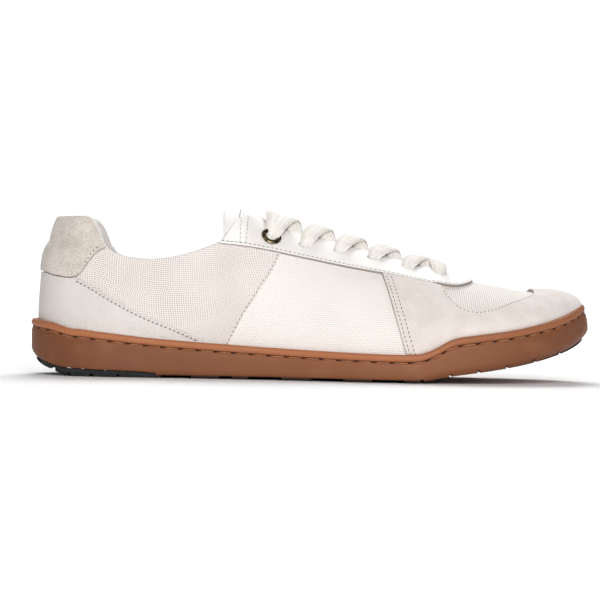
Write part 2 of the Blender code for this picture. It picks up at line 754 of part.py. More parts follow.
def make_sole():
    """The gum cup and the slate tread under its heel."""
    across, along = tread_cutters()
    xs = np.linspace(-0.005, HEEL_TREAD_LENGTH, 14)
    split = HEEL_BEVEL * eased(HEEL_TREAD, "height", xs / HEEL_TREAD_LENGTH)
    low = np.full(len(xs), -0.02)
    zone = hidden_cutter("cut_heel_zone", *profile_prism(xs, split, low, -0.08, 0.08))
    wide = xs.copy()
    wide[-1] += GAP
    around = hidden_cutter("cut_heel_seat", *profile_prism(wide, split + GAP, low - 0.001, -0.081, 0.081))
    for name, finish, cutter, operation in (
        ("cupsole", GUM, around, "DIFFERENCE"),
        ("heel_tread", SLATE, zone, "INTERSECT"),
    ):
        body = make_sole_body(name)
        paint(body, finish)
        boolean(body, cutter, operation)
        boolean(body, across)
        boolean(body, along)


def make_insole():
    """The flat footbed inside the upper."""
    places = rib_places()
    edge = np.stack(foot(places, RIM_WIDTH + WALL + 3 * GAP), axis=1)
    inner = np.stack([spine_x(places), np.zeros(len(places))], axis=1)
    n = len(places)
    layers = []
    for lift, shares in ((OVERLAY_GAP, (1, 0.25, 0)), (OVERLAY_GAP + INSOLE_THICKNESS, (0.01, 0.25, 1))):
        for share in shares:
            flat = edge + (inner - edge) * share
            layers.append(np.column_stack([flat, cup_floor(flat[:, 0]) + lift]))
    faces = []
    for r in range(len(layers) - 1):
        faces += [(r * n + k, r * n + (k + 1) % n, (r + 1) * n + (k + 1) % n, (r + 1) * n + k) for k in range(n)]
    solid("insole", np.concatenate(layers), faces, FOAM)


def upper_grid(places, edges, rows):
    """Rises of the upper's rows at each place: two in the sole's cup, the rest above its rim."""
    shares = np.linspace(0, 1, rows)
    above = edges[:, None] * shares[None, :]
    return np.concatenate([np.full((len(places), 1), -1.0), above], axis=1)


def wall_thickness(places, rises, edges):
    """The wall, thicker towards the collar where it is padded."""
    points = last_point(places, rises)
    tops = last_point(places[:, :1], edges[:, None])
    below = tops[..., 2] - points[..., 2]
    behind = 1 - ramp(points[..., 0], EYESTAY_TOP - 1.2 * PADDING_DEPTH, EYESTAY_TOP)
    return WALL + COLLAR_PADDING * behind * (1 - ramp(below, 0.2 * PADDING_DEPTH, PADDING_DEPTH))


def make_upper():
    """One hollow wall: open at collar, throat and underneath, closed over the toes."""
    places = rib_places()
    edges = edge_rise(places)
    rises = upper_grid(places, edges, 9)
    grid = np.repeat(places[:, None], rises.shape[1], axis=1)
    outer = on_last(grid, rises, np.zeros(rises.shape))
    inner = on_last(grid, rises, -wall_thickness(grid, rises, edges))
    # A little rounding where the wall is open at the top.
    closed = edges >= 1
    n, rows = rises.shape
    for layer in (outer, inner):
        top = layer[:, -1].copy()
        partner = (-np.arange(n)) % n
        middle = (top + top[partner]) / 2
        layer[closed, -1] = middle[closed]
        fan = (places >= 2) & (places <= 4)
        layer[fan, -1] = layer[fan, -1].mean(axis=0)
    inner[:, 0, 2] = outer[:, 0, 2]
    points = np.concatenate([outer.reshape(-1, 3), inner.reshape(-1, 3)])
    count = n * rows
    faces = []
    for k in range(n):
        nxt = (k + 1) % n
        for r in range(rows - 1):
            quad = (k * rows + r, nxt * rows + r, nxt * rows + r + 1, k * rows + r + 1)
            faces.append(quad)
            faces.append(tuple(i + count for i in quad[::-1]))
        faces.append((k * rows, k * rows + count, nxt * rows + count, nxt * rows))
        if not (closed[k] and closed[nxt]):
            a, b = k * rows + rows - 1, nxt * rows + rows - 1
            faces.append((a, b, b + count, a + count))
    return solid("upper", points, faces, MESH)


def plan_place(x, y):
    """Place and rise of the last's surface under points seen from above, in front of the ankle."""
    x, y = np.broadcast_arrays(np.asarray(x, float), np.asarray(y, float))
    medial = y > spine_y(x)
    places = np.where(medial, side_place(x, True), side_place(x))
    return places, rise_at_reach(places, np.abs(y - spine_y(x)))


def over_last(x, y, away):
    """Points over the instep, given from above, at a distance from the last's surface."""
    places, rises = plan_place(x, y)
    return on_last(places, rises, np.broadcast_to(away, places.shape))


def eyestay_rises(x):
    """Where the eyestay's lower edge crosses the ribs at x, on the lateral and on the medial side."""
    height = eased(EYESTAY_SEAM, "height", x / SHOE_LENGTH) * HEEL_HEIGHT
    lateral = rise_at_height(side_place(x), height)
    beside = beside_spine(side_place(x), lateral)
    by_height = rise_at_height(side_place(x, True), height)
    by_reach = rise_at_reach(side_place(x, True), beside)
    return lateral, by_height + (by_reach - by_height) * ramp(x / SHOE_LENGTH, 0.45, 0.66)


def make_eyestay():
    """The leather round the throat, from the collar over the vamp and back."""
    centre = THROAT_END - THROAT_GAP / 2
    back = stations(EYESTAY_TOP + 0.001, centre)
    seams = eyestay_rises(back)
    shares = np.linspace(0, 1, 4)
    flanks = []
    for side, seam in zip((False, True), seams):
        places = side_place(back, side)
        throat = rise_at_reach(places, throat_half(back) + 2 * GAP)
        collar = rise_at_height(places, collar_height(back) - 2 * GAP)
        edge = collar + (throat - collar) * ramp(back, EYESTAY_TOP, THROAT_START)
        edge = np.maximum(edge, seam + 0.02)
        grid = np.repeat(places[:, None], len(shares), axis=1)
        flanks.append((grid, between(seam, edge, shares)))
    wide = beside_spine(side_place(centre), seams[0][-1])
    turn = np.linspace(0, math.pi, 13)[1:-1]
    near = THROAT_GAP / 2 + 2 * GAP
    ahead, aside = np.sin(turn) ** EYESTAY_CORNER, np.sign(np.cos(turn)) * np.abs(np.cos(turn)) ** EYESTAY_CORNER
    x = between(centre + ahead * (EYESTAY_FRONT - centre), centre + np.sin(turn) * near, shares)
    y = between(-aside * wide, -np.cos(turn) * near, shares) + spine_y(x)
    fan = plan_place(x, y)
    grid = np.concatenate([flanks[0][0], fan[0], flanks[1][0][::-1]])
    rises = np.concatenate([flanks[0][1], fan[1], flanks[1][1][::-1]])
    outer = on_last(grid, rises, np.full(grid.shape, OVERLAY_GAP + OVERLAY))
    inner = on_last(grid, rises, np.full(grid.shape, OVERLAY_GAP))
    sheet("eyestay", outer, inner, LEATHER)


def make_toe_guard():
    """The suede round the toe, from its slanted rear edge on one side to the other."""
    half = np.concatenate([np.linspace(0, 1, 15)[:-1], 1 + np.linspace(0, 1, TOE_RIBS + 1)])
    fan = np.maximum(half, 1) - 1
    top_rear, foot_rear = side_place(SUEDE_EDGE_TOP * SHOE_LENGTH), side_place(SUEDE_EDGE_FOOT * SHOE_LENGTH)
    along_side = np.minimum(half, 1)
    upper_places = top_rear + (2 - top_rear) * along_side + fan
    lower_places = foot_rear + (2 - foot_rear) * along_side + fan
    fx = foot(upper_places, RIM_WIDTH + GAP)[0]
    share = fx / SHOE_LENGTH
    seam = eased(VAMP_SEAM, "height", share) * HEEL_HEIGHT
    tops = rise_at_height(upper_places, seam)
    behind = share < VAMP_SEAM[0].along + 0.004
    lateral_seam, medial_seam = eyestay_rises(fx[behind])
    tops[behind] = lateral_seam
    tip = int(np.argmax(half >= 1))
    beside = beside_spine(upper_places, tops)
    shares = np.linspace(0, 1, 6)
    sides = []
    for medial in (False, True):
        places = 6 - upper_places if medial else upper_places
        lower = 6 - lower_places if medial else lower_places
        reach = beside_spine(places, 0 * tops)
        near = np.minimum(beside, VAMP_SHARE * reach) if medial else beside.copy()
        x, y = foot(places[tip:], RIM_WIDTH + GAP)
        pole = spine_x(places[tip:])
        ahead, aside = (x - pole) / reach[tip:], (y - spine_y(pole)) / reach[tip:]
        near[tip:] = 1 / np.hypot(ahead / VAMP_TIP, aside / near[tip])
        edge = rise_at_reach(places, near + GAP)
        edge[behind] = medial_seam - MEDIAL_LAP if medial else lateral_seam - LATERAL_LAP
        sides.append((between(lower, places, shares), between(rim_rise(lower), edge, shares)))
    grid = np.concatenate([sides[0][0], sides[1][0][-2::-1]])
    rises = np.concatenate([sides[0][1], sides[1][1][-2::-1]])
    outer = on_last(grid, rises, np.full(grid.shape, OVERLAY_GAP + OVERLAY))
    inner = on_last(grid, rises, np.full(grid.shape, OVERLAY_GAP))
    sheet("toe_guard", outer, inner, SUEDE)


def mirrored(half):
    """Places from the lateral side round the heel to the medial side."""
    return np.concatenate([-half[::-1], half[1:]])


def heel_places(last_along):
    """The ribs from the heel's back to a share of the length, with three between each two at the side."""
    end = side_place(last_along * SHOE_LENGTH)
    ribs = rib_places()
    fan = ribs[ribs < 1]
    return np.concatenate([fan, np.linspace(1, end, 2 + int((end - 1) * 2.4 * SIDE_RIBS))])


def make_counter():
    """The leather round the heel, running out to a point at each side."""
    half = heel_places(COUNTER_SEAM[-1].along + 0.012)
    fx = foot(half, RIM_WIDTH + GAP)[0] / SHOE_LENGTH
    under_tab = eased(TAB_SEAM, "height", fx) - 0.006
    height = np.where(fx < COUNTER_SEAM[0].along, under_tab, eased(COUNTER_SEAM, "height", fx))
    tops = rise_at_height(half, height * HEEL_HEIGHT)
    lows = rim_rise(half)
    tops = np.maximum(tops, lows + 0.006)
    places = mirrored(half)
    overlay("heel_counter", places, np.concatenate([lows[::-1], lows[1:]]),
            np.concatenate([tops[::-1], tops[1:]]), OVERLAY, LEATHER, rows=5)


def make_tab():
    """The padded suede tab over the top of the heel."""
    half = heel_places(TAB_SEAM[-1].along)
    fx = foot(half, RIM_WIDTH + GAP)[0] / SHOE_LENGTH
    lows = rise_at_height(half, (eased(TAB_SEAM, "height", fx)) * HEEL_HEIGHT)
    tops = np.maximum(rise_at_height(half, collar_height(fx * SHOE_LENGTH) - 0.0012), lows + 0.01)
    overlay("heel_tab", mirrored(half), np.concatenate([lows[::-1], lows[1:]]),
            np.concatenate([tops[::-1], tops[1:]]), TAB_THICKNESS, SUEDE, rows=7)


def make_tongue():
    """A padded sheet under the throat that stands up above it and above the collar."""
    xs = stations(EYESTAY_TOP + 0.003, THROAT_END - THROAT_GAP / 2 + 0.002)[::-1]
    wanted = TONGUE_WIDTH / 2 * (1 - 0.4 * ramp(xs, xs[-1], xs[0]))
    lateral, medial = (np.minimum(wanted, 0.8 * beside_spine(side_place(xs, m), 0 * xs)) for m in (0, 1))
    shares = np.linspace(-1, 1, 9)[None, :]
    x = np.repeat(xs[:, None], 9, axis=1)
    y = np.where(shares < 0, lateral[:, None], medial[:, None]) * shares + spine_y(x)
    clear = WALL + 3 * GAP + TONGUE_SLACK * (1 - ramp(x, THROAT_START, THROAT_START + 0.02))
    outer = over_last(x, y, -clear)
    inner = over_last(x, y, -clear - TONGUE_THICKNESS)
    sheet("tongue", outer, inner, MESH)


def eyelet_spots():
    """Where the eyelets are, seen from above: x and the distance from the spine."""
    xs = np.linspace(EYELET_FIRST, EYELET_LAST, EYELET_PAIRS)
    return [(x, throat_half(min(x, THROAT_END - THROAT_GAP / 2)) + EYELET_SETBACK) for x in xs]


def spot_frame(x, beside, side):
    """Centre and outward normal of the last's surface at an eyelet."""
    y = np.array([spine_y(x) + side * beside])
    places, rises = plan_place(np.array([x]), y)
    return last_point(places, rises)[0], last_normal(places, rises)[0]


def cylinder(centre, axis, radius, low, high, sides=6):
    """Points and faces of a cylinder along an axis."""
    turn = Vector((0, 0, 1)).rotation_difference(Vector(axis))
    points = []
    for height in (low, high):
        for k in range(sides):
            angle = 2 * math.pi * k / sides
            spot = turn @ Vector((math.cos(angle) * radius, math.sin(angle) * radius, height))
            points.append(np.array(spot) + centre)
    faces = [tuple(range(sides))[::-1], tuple(range(sides, 2 * sides))]
    faces += [(k, (k + 1) % sides, (k + 1) % sides + sides, k + sides) for k in range(sides)]
    return points, faces


def punch_eyelets():
    """Punches the lace holes through the eyestay and the upper."""
    holes = [
        cylinder(*spot_frame(x, beside, side), HOLE_RADIUS, -0.006, 0.006)
        for x, beside in eyelet_spots()
        for side in (-1, 1)
    ]
    cutter = hidden_cutter("cut_eyelets", *joined(holes))
    for name in ("upper", "eyestay"):
        boolean(bpy.data.objects[name], cutter)


def make_rings():
    """The two metal eyelets at the top of the throat."""
    x, beside = eyelet_spots()[0]
    sides, turns = 14, 5
    for name, side in (("eyelet_lateral", -1), ("eyelet_medial", 1)):
        centre, normal = spot_frame(x, beside, side)
        turn = Vector((0, 0, 1)).rotation_difference(Vector(normal))
        middle = (HOLE_RADIUS + 0.0004 + RING_RADIUS) / 2
        half = (RING_RADIUS - HOLE_RADIUS - 0.0004) / 2
        points, faces = [], []
        for k in range(sides):
            a = 2 * math.pi * k / sides
            for m in range(turns):
                b = 2 * math.pi * m / turns
                radius = middle + half * math.cos(b)
                height = OVERLAY + OVERLAY_GAP + 2 * GAP + RING_THICKNESS / 2 * (1 + math.sin(b))
                spot = turn @ Vector((radius * math.cos(a), radius * math.sin(a), height))
                points.append(np.array(spot) + centre)
                n1, m1 = (k + 1) % sides, (m + 1) % turns
                faces.append((k * turns + m, n1 * turns + m, n1 * turns + m1, k * turns + m1))
        solid(name, points, faces, BRASS)


def strap(start, end, middle, lift, hump):
    """A flat lace across the throat between two spots seen from above, as two grids of points.

    Middle is the share of its way at which it crosses the spine. It bends there.
    """
    shares = np.concatenate([np.linspace(0, middle, 4), np.linspace(middle, 1, 3)[1:]])
    ahead = end - start
    across = np.array([-ahead[1], ahead[0]]) / np.linalg.norm(ahead)
    line = start[None] + ahead[None] * shares[:, None]
    widths = LACE_WIDTH / 2 * np.array([-1, 1])
    x = line[:, 0][:, None] + across[0] * widths[None]
    y = line[:, 1][:, None] + across[1] * widths[None]
    away = (lift + hump * np.sin(math.pi * shares) ** 2)[:, None] + 0 * widths[None]
    return over_last(x, y, away + LACE_THICKNESS), over_last(x, y, away)


def make_laces():
    """A crossing between each two pairs of eyelets, and a bar at both ends of the throat."""
    spots = [[np.array([x, float(spine_y(x)) + side * beside]) for side in (-1, 1)]
             for x, beside in eyelet_spots()]
    lift = OVERLAY + OVERLAY_GAP + 2 * GAP
    over_ring = lift + RING_THICKNESS + 6 * GAP
    laces = []
    for near, far in zip(spots[:-1], spots[1:]):
        height = over_ring if near is spots[0] else lift
        dip = lift - height
        hump = 0.0 if near is spots[0] else LACE_THICKNESS * LACE_OVER
        middle = 0.5 / LACE_REACH
        crossing = [
            (near[0], near[0] + (far[1] - near[0]) * LACE_REACH, middle, height, dip),
            (near[1], near[1] + (far[0] - near[1]) * LACE_REACH, middle, height, dip + hump),
        ]
        laces.append(crossing)
    laces[0].append((spots[0][0], spots[0][1], 0.5, over_ring, lift - over_ring))
    laces[-1].append((spots[-1][0], spots[-1][1], 0.5, lift, 0.0))
    for index, straps in enumerate(laces, start=1):
        pieces = [
            sheet(f"lace_{index}" if k == 0 else f"join_{index}_{k}", *strap(*one), COTTON)
            for k, one in enumerate(straps)
        ]
        for other in pieces[1:]:
            other.hide_render = True
            other.display_type = "WIRE"
            boolean(pieces[0], other, "UNION")


def main():
    """Builds the shoe."""
    for obj in list(bpy.data.objects):
        bpy.data.objects.remove(obj)
    make_sole()
    make_insole()
    make_upper()
    make_tongue()
    make_eyestay()
    make_toe_guard()
    make_counter()
    make_tab()
    punch_eyelets()
    make_rings()
    make_laces()


main()
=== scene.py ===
"""Dresses the barefoot shoe: weave, suede, leather, stitches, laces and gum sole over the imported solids."""

import logging
import math
from dataclasses import dataclass, field
from enum import Enum

import bpy
import numpy as np
from mathutils import Matrix, Vector


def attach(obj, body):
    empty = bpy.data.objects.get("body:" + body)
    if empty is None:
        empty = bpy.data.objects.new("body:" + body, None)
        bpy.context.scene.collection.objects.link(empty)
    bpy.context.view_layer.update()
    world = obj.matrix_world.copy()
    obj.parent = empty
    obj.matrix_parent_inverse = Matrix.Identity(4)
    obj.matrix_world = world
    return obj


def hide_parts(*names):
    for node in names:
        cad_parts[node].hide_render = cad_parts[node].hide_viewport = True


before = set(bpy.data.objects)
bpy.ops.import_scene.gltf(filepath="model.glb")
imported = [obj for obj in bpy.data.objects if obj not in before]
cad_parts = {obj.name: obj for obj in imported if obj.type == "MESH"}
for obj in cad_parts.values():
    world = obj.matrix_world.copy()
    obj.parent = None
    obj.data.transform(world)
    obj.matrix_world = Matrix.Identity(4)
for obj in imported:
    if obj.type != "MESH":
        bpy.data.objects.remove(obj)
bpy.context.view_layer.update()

log = logging.getLogger("barefoot_shoe")
Array = np.ndarray
Piece = bpy.types.Object
Socket = bpy.types.NodeSocket
Finish = bpy.types.Material
Table = dict[str, Array]


class Side(Enum):
    """The two sides of the shoe, as the sign of y."""

    OUTER = -1
    INNER = 1


def table(names: str, *rows: tuple[float, ...]) -> Table:
    """A table's columns by their names, from its rows."""
    return dict(zip(names.split(), np.array(rows, float).T))


# Along is a share of the length, across a share of half the local width, lateral negative.
OUTLINE = table(
    "along across",
    (0.000, 0.00), (0.018, -0.50), (0.058, -0.82), (0.130, -1.00), (0.220, -1.01), (0.335, -0.97),
    (0.460, -0.92), (0.580, -0.97), (0.685, -1.00), (0.780, -0.975), (0.865, -0.845), (0.932, -0.590),
    (0.980, -0.230), (1.000, 0.170), (0.988, 0.500), (0.950, 0.760), (0.885, 0.930), (0.800, 1.000),
    (0.715, 1.000), (0.620, 0.920), (0.520, 0.810), (0.420, 0.780), (0.320, 0.860), (0.220, 0.960),
    (0.130, 0.980), (0.058, 0.810), (0.018, 0.500),
)

# Lift is a share of the toe spring, bevel of the heel bevel. The wall is the waist's height plus
# a share of what the heel or the toe wall has more than that.
SOLE_SIDE = table(
    "along lift bevel heel_wall toe_wall",
    (0.000, 0.000, 1.000, 0.42, 0.00), (0.022, 0.000, 0.560, 0.78, 0.00), (0.044, 0.000, 0.310, 0.96, 0.00),
    (0.066, 0.000, 0.110, 1.00, 0.00), (0.086, 0.000, 0.000, 1.00, 0.00), (0.135, 0.000, 0.000, 0.86, 0.00),
    (0.221, 0.000, 0.000, 0.60, 0.00), (0.308, 0.000, 0.000, 0.42, 0.00), (0.445, 0.000, 0.000, 0.20, 0.00),
    (0.567, 0.000, 0.000, 0.05, 0.00), (0.655, 0.000, 0.000, 0.00, 0.00), (0.684, 0.012, 0.000, 0.00, 0.02),
    (0.703, 0.065, 0.000, 0.00, 0.10), (0.720, 0.110, 0.000, 0.00, 0.42), (0.737, 0.145, 0.000, 0.00, 0.86),
    (0.755, 0.182, 0.000, 0.00, 1.05), (0.790, 0.240, 0.000, 0.00, 1.05), (0.840, 0.340, 0.000, 0.00, 0.97),
    (0.880, 0.440, 0.000, 0.00, 0.93), (0.933, 0.615, 0.000, 0.00, 0.90), (0.970, 0.790, 0.000, 0.00, 0.85),
    (1.000, 1.000, 0.000, 0.00, 0.60),
)

# Rise is the height over the sole's underside, from the toe box (0) to the instep (1). Across is a
# share of half the ball width. Lateral and medial say how boxy the section is: 2 is an ellipse.
SPINE = table(
    "along rise across lateral medial",
    (0.132, 1.400, 0.00, 2.60, 2.60), (0.260, 1.330, 0.00, 2.30, 2.30), (0.345, 1.195, 0.00, 2.00, 2.05),
    (0.372, 1.175, 0.00, 1.95, 2.00), (0.397, 1.070, 0.00, 1.90, 1.97), (0.425, 0.985, 0.01, 1.88, 1.95),
    (0.500, 0.860, 0.03, 1.84, 1.95), (0.580, 0.720, 0.05, 1.82, 2.00), (0.660, 0.575, 0.08, 1.82, 2.10),
    (0.722, 0.435, 0.11, 1.82, 2.20), (0.760, 0.325, 0.13, 1.84, 2.25), (0.788, 0.250, 0.15, 1.86, 2.30),
    (0.840, 0.130, 0.17, 1.90, 2.35), (0.892, 0.010, 0.18, 2.05, 2.40),
)

# How far the wall leans in above the sole, as a share of the heel width, where the rib has risen
# to this share of the heel height. The step at 0.83 is the crease under the padded heel tab.
LEAN = table(
    "height back side",
    (0.00, 0.000, 0.000), (0.34, 0.000, 0.010), (0.55, 0.012, 0.045), (0.66, 0.022, 0.075),
    (0.74, 0.036, 0.100), (0.80, 0.060, 0.112), (0.835, 0.090, 0.121), (0.88, 0.100, 0.130),
    (0.94, 0.116, 0.142), (1.00, 0.140, 0.160), (1.25, 0.300, 0.300),
)

# The collar's edge: 0 is the dip at the ankle, 1 the top of the heel.
COLLAR = table(
    "along height",
    (0.000, 1.00), (0.080, 1.00), (0.098, 0.945), (0.112, 0.80), (0.127, 0.50), (0.138, 0.25),
    (0.155, 0.11), (0.181, 0.04), (0.216, 0.00), (0.251, 0.055), (0.286, 0.17), (0.333, 0.40),
    (0.360, 0.56),
)

# Seen from the side: shares of the length and of the heel height.
EYESTAY_SEAM = table(
    "along height",
    (0.333, 0.842), (0.373, 0.828), (0.425, 0.797), (0.496, 0.746), (0.566, 0.697), (0.636, 0.655),
    (0.700, 0.612), (0.735, 0.590),
)
VAMP_SEAM = table(
    "along height",
    (0.724, 0.590), (0.739, 0.526), (0.750, 0.482), (0.766, 0.456), (0.785, 0.447), (0.809, 0.458),
    (0.844, 0.494), (0.870, 0.520), (0.892, 0.545),
)
TAB_SEAM = table(
    "along height",
    (0.000, 0.662), (0.024, 0.650), (0.045, 0.625), (0.073, 0.612), (0.086, 0.626), (0.097, 0.676),
    (0.108, 0.735), (0.122, 0.780), (0.138, 0.800),
)
COUNTER_SEAM = table(
    "along height",
    (0.082, 0.603), (0.113, 0.553), (0.149, 0.482), (0.202, 0.387), (0.255, 0.316), (0.302, 0.247),
)
# Where the toe guard's rear edge is, at its top and at the sole, as shares of the length.
SUEDE_EDGE_TOP = 0.622
SUEDE_EDGE_FOOT = 0.673
# How far the vamp reaches in front of the toe's pole, in metres.
VAMP_TIP = 0.0012
# The most of the way down to the rim that the vamp takes on the medial side.
VAMP_SHARE = 0.80

# Grooves across the tread: wide ones in the waist, narrow ones under heel and ball.
NOTCHES = table(
    "along width",
    (0.048, 0.0030), (0.077, 0.0014), (0.118, 0.0014), (0.166, 0.0014), (0.266, 0.0150), (0.352, 0.0060),
    (0.420, 0.0160), (0.528, 0.0160), (0.632, 0.0160), (0.690, 0.0014), (0.739, 0.0014), (0.788, 0.0014),
    (0.838, 0.0014), (0.888, 0.0014), (0.936, 0.0014),
)

# The top of the slate tread: shares of its length and of the heel's bevel.
HEEL_TREAD = table(
    "along height",
    (-0.10, 1.100), (0.05, 0.870), (0.14, 0.640), (0.27, 0.430), (0.42, 0.360), (0.60, 0.315),
    (0.82, 0.285), (1.00, 0.210),
)

# The seam between the rear quarter and the middle panel: its height to its place along.
QUARTER_SEAM = table(
    "height along",
    (0.10, 0.352), (0.21, 0.3556), (0.267, 0.3626), (0.337, 0.3724), (0.418, 0.3846), (0.505, 0.4014),
    (0.574, 0.4126), (0.630, 0.4231), (0.710, 0.4350), (0.780, 0.4434), (1.100, 0.4800),
)
# The top of the tongue, which stands up above the throat.
TONGUE_TOP = table(
    "along height",
    (0.339, 1.040), (0.345, 1.070), (0.356, 1.078), (0.369, 1.075), (0.378, 1.058), (0.392, 1.048),
    (0.405, 1.042), (0.420, 1.005), (0.440, 0.960), (0.470, 0.920),
)
# How square the eyestay's front end is, where 1 is round.
EYESTAY_CORNER = 0.78
# How far forward the eyestay reaches, in metres from the heel.
EYESTAY_FRONT = 0.2255
# Where the frame's origin is, in metres from the heel.
ORIGIN_X = 0.14301
# Corners closer than this are the same corner, in metres.
WELD_REACH = 0.00003


def eased(rows: Table, name: str, at: Array) -> Array:
    """A table's column read along its first one, smoothly and without overshoot.

    Args:
        rows: the table.
        name: the column.
        at: where it is read.

    Returns:
        The values there.
    """
    xs, ys = next(iter(rows.values())), rows[name]
    at = np.clip(np.asarray(at, float), xs[0], xs[-1])
    steps = np.diff(xs)
    rises = np.diff(ys) / steps
    slopes = np.zeros(len(xs))
    both = rises[:-1] * rises[1:] > 0
    slopes[1:-1][both] = 2 * rises[:-1][both] * rises[1:][both] / (rises[:-1][both] + rises[1:][both])
    slopes[0], slopes[-1] = rises[0], rises[-1]
    k = np.clip(np.searchsorted(xs, at, side="right") - 1, 0, len(xs) - 2)
    t = (at - xs[k]) / steps[k]
    near = (1 + 2 * t) * (1 - t) ** 2 * ys[k] + t * (1 - t) ** 2 * steps[k] * slopes[k]
    return near + t * t * (3 - 2 * t) * ys[k + 1] + t * t * (t - 1) * steps[k] * slopes[k + 1]


def ramp(value: Array, low: float, high: float) -> Array:
    """0 below low, 1 above high, and a smooth step between."""
    t = np.clip((np.asarray(value, float) - low) / (high - low), 0, 1)
    return t * t * (3 - 2 * t)


def unit(vectors: Array) -> Array:
    """The vectors at a length of 1."""
    return vectors / np.linalg.norm(vectors, axis=-1)[..., None]


def way_along(points: Array) -> Array:
    """How far along a path each of its points is."""
    return np.concatenate([[0], np.cumsum(np.linalg.norm(np.diff(points, axis=0), axis=1))])


def closed_curve(points: Array, count: int) -> Array:
    """A smooth closed curve.

    Args:
        points: what it goes through.
        count: how many points it is read at.

    Returns:
        Points equally far apart on it.
    """
    chords = np.linalg.norm(np.roll(points, -1, axis=0) - points, axis=1)
    n = len(points)
    matrix, right = np.zeros((n, n)), np.zeros((n, 2))
    for i in range(n):
        back, ahead = chords[i - 1], chords[i]
        matrix[i, i - 1], matrix[i, i], matrix[i, (i + 1) % n] = ahead, 2 * (back + ahead), back
        before, after = points[i] - points[i - 1], points[(i + 1) % n] - points[i]
        right[i] = 3 * (ahead / back * before + back / ahead * after)
    tangents = np.linalg.solve(matrix, right)
    dense = []
    for i in range(n):
        t = np.linspace(0, 1, 40, endpoint=False)[:, None]
        a, b = points[i], points[(i + 1) % n]
        ta, tb = tangents[i] * chords[i], tangents[(i + 1) % n] * chords[i]
        dense.append(
            (1 + 2 * t) * (1 - t) ** 2 * a
            + t * (1 - t) ** 2 * ta
            + t * t * (3 - 2 * t) * b
            + t * t * (t - 1) * tb
        )
    dense = np.concatenate(dense)
    closed = np.vstack([dense, dense[:1]])
    lengths = way_along(closed)
    at = np.linspace(0, lengths[-1], count, endpoint=False)
    return np.stack([np.interp(at, lengths, closed[:, k]) for k in (0, 1)], axis=1)


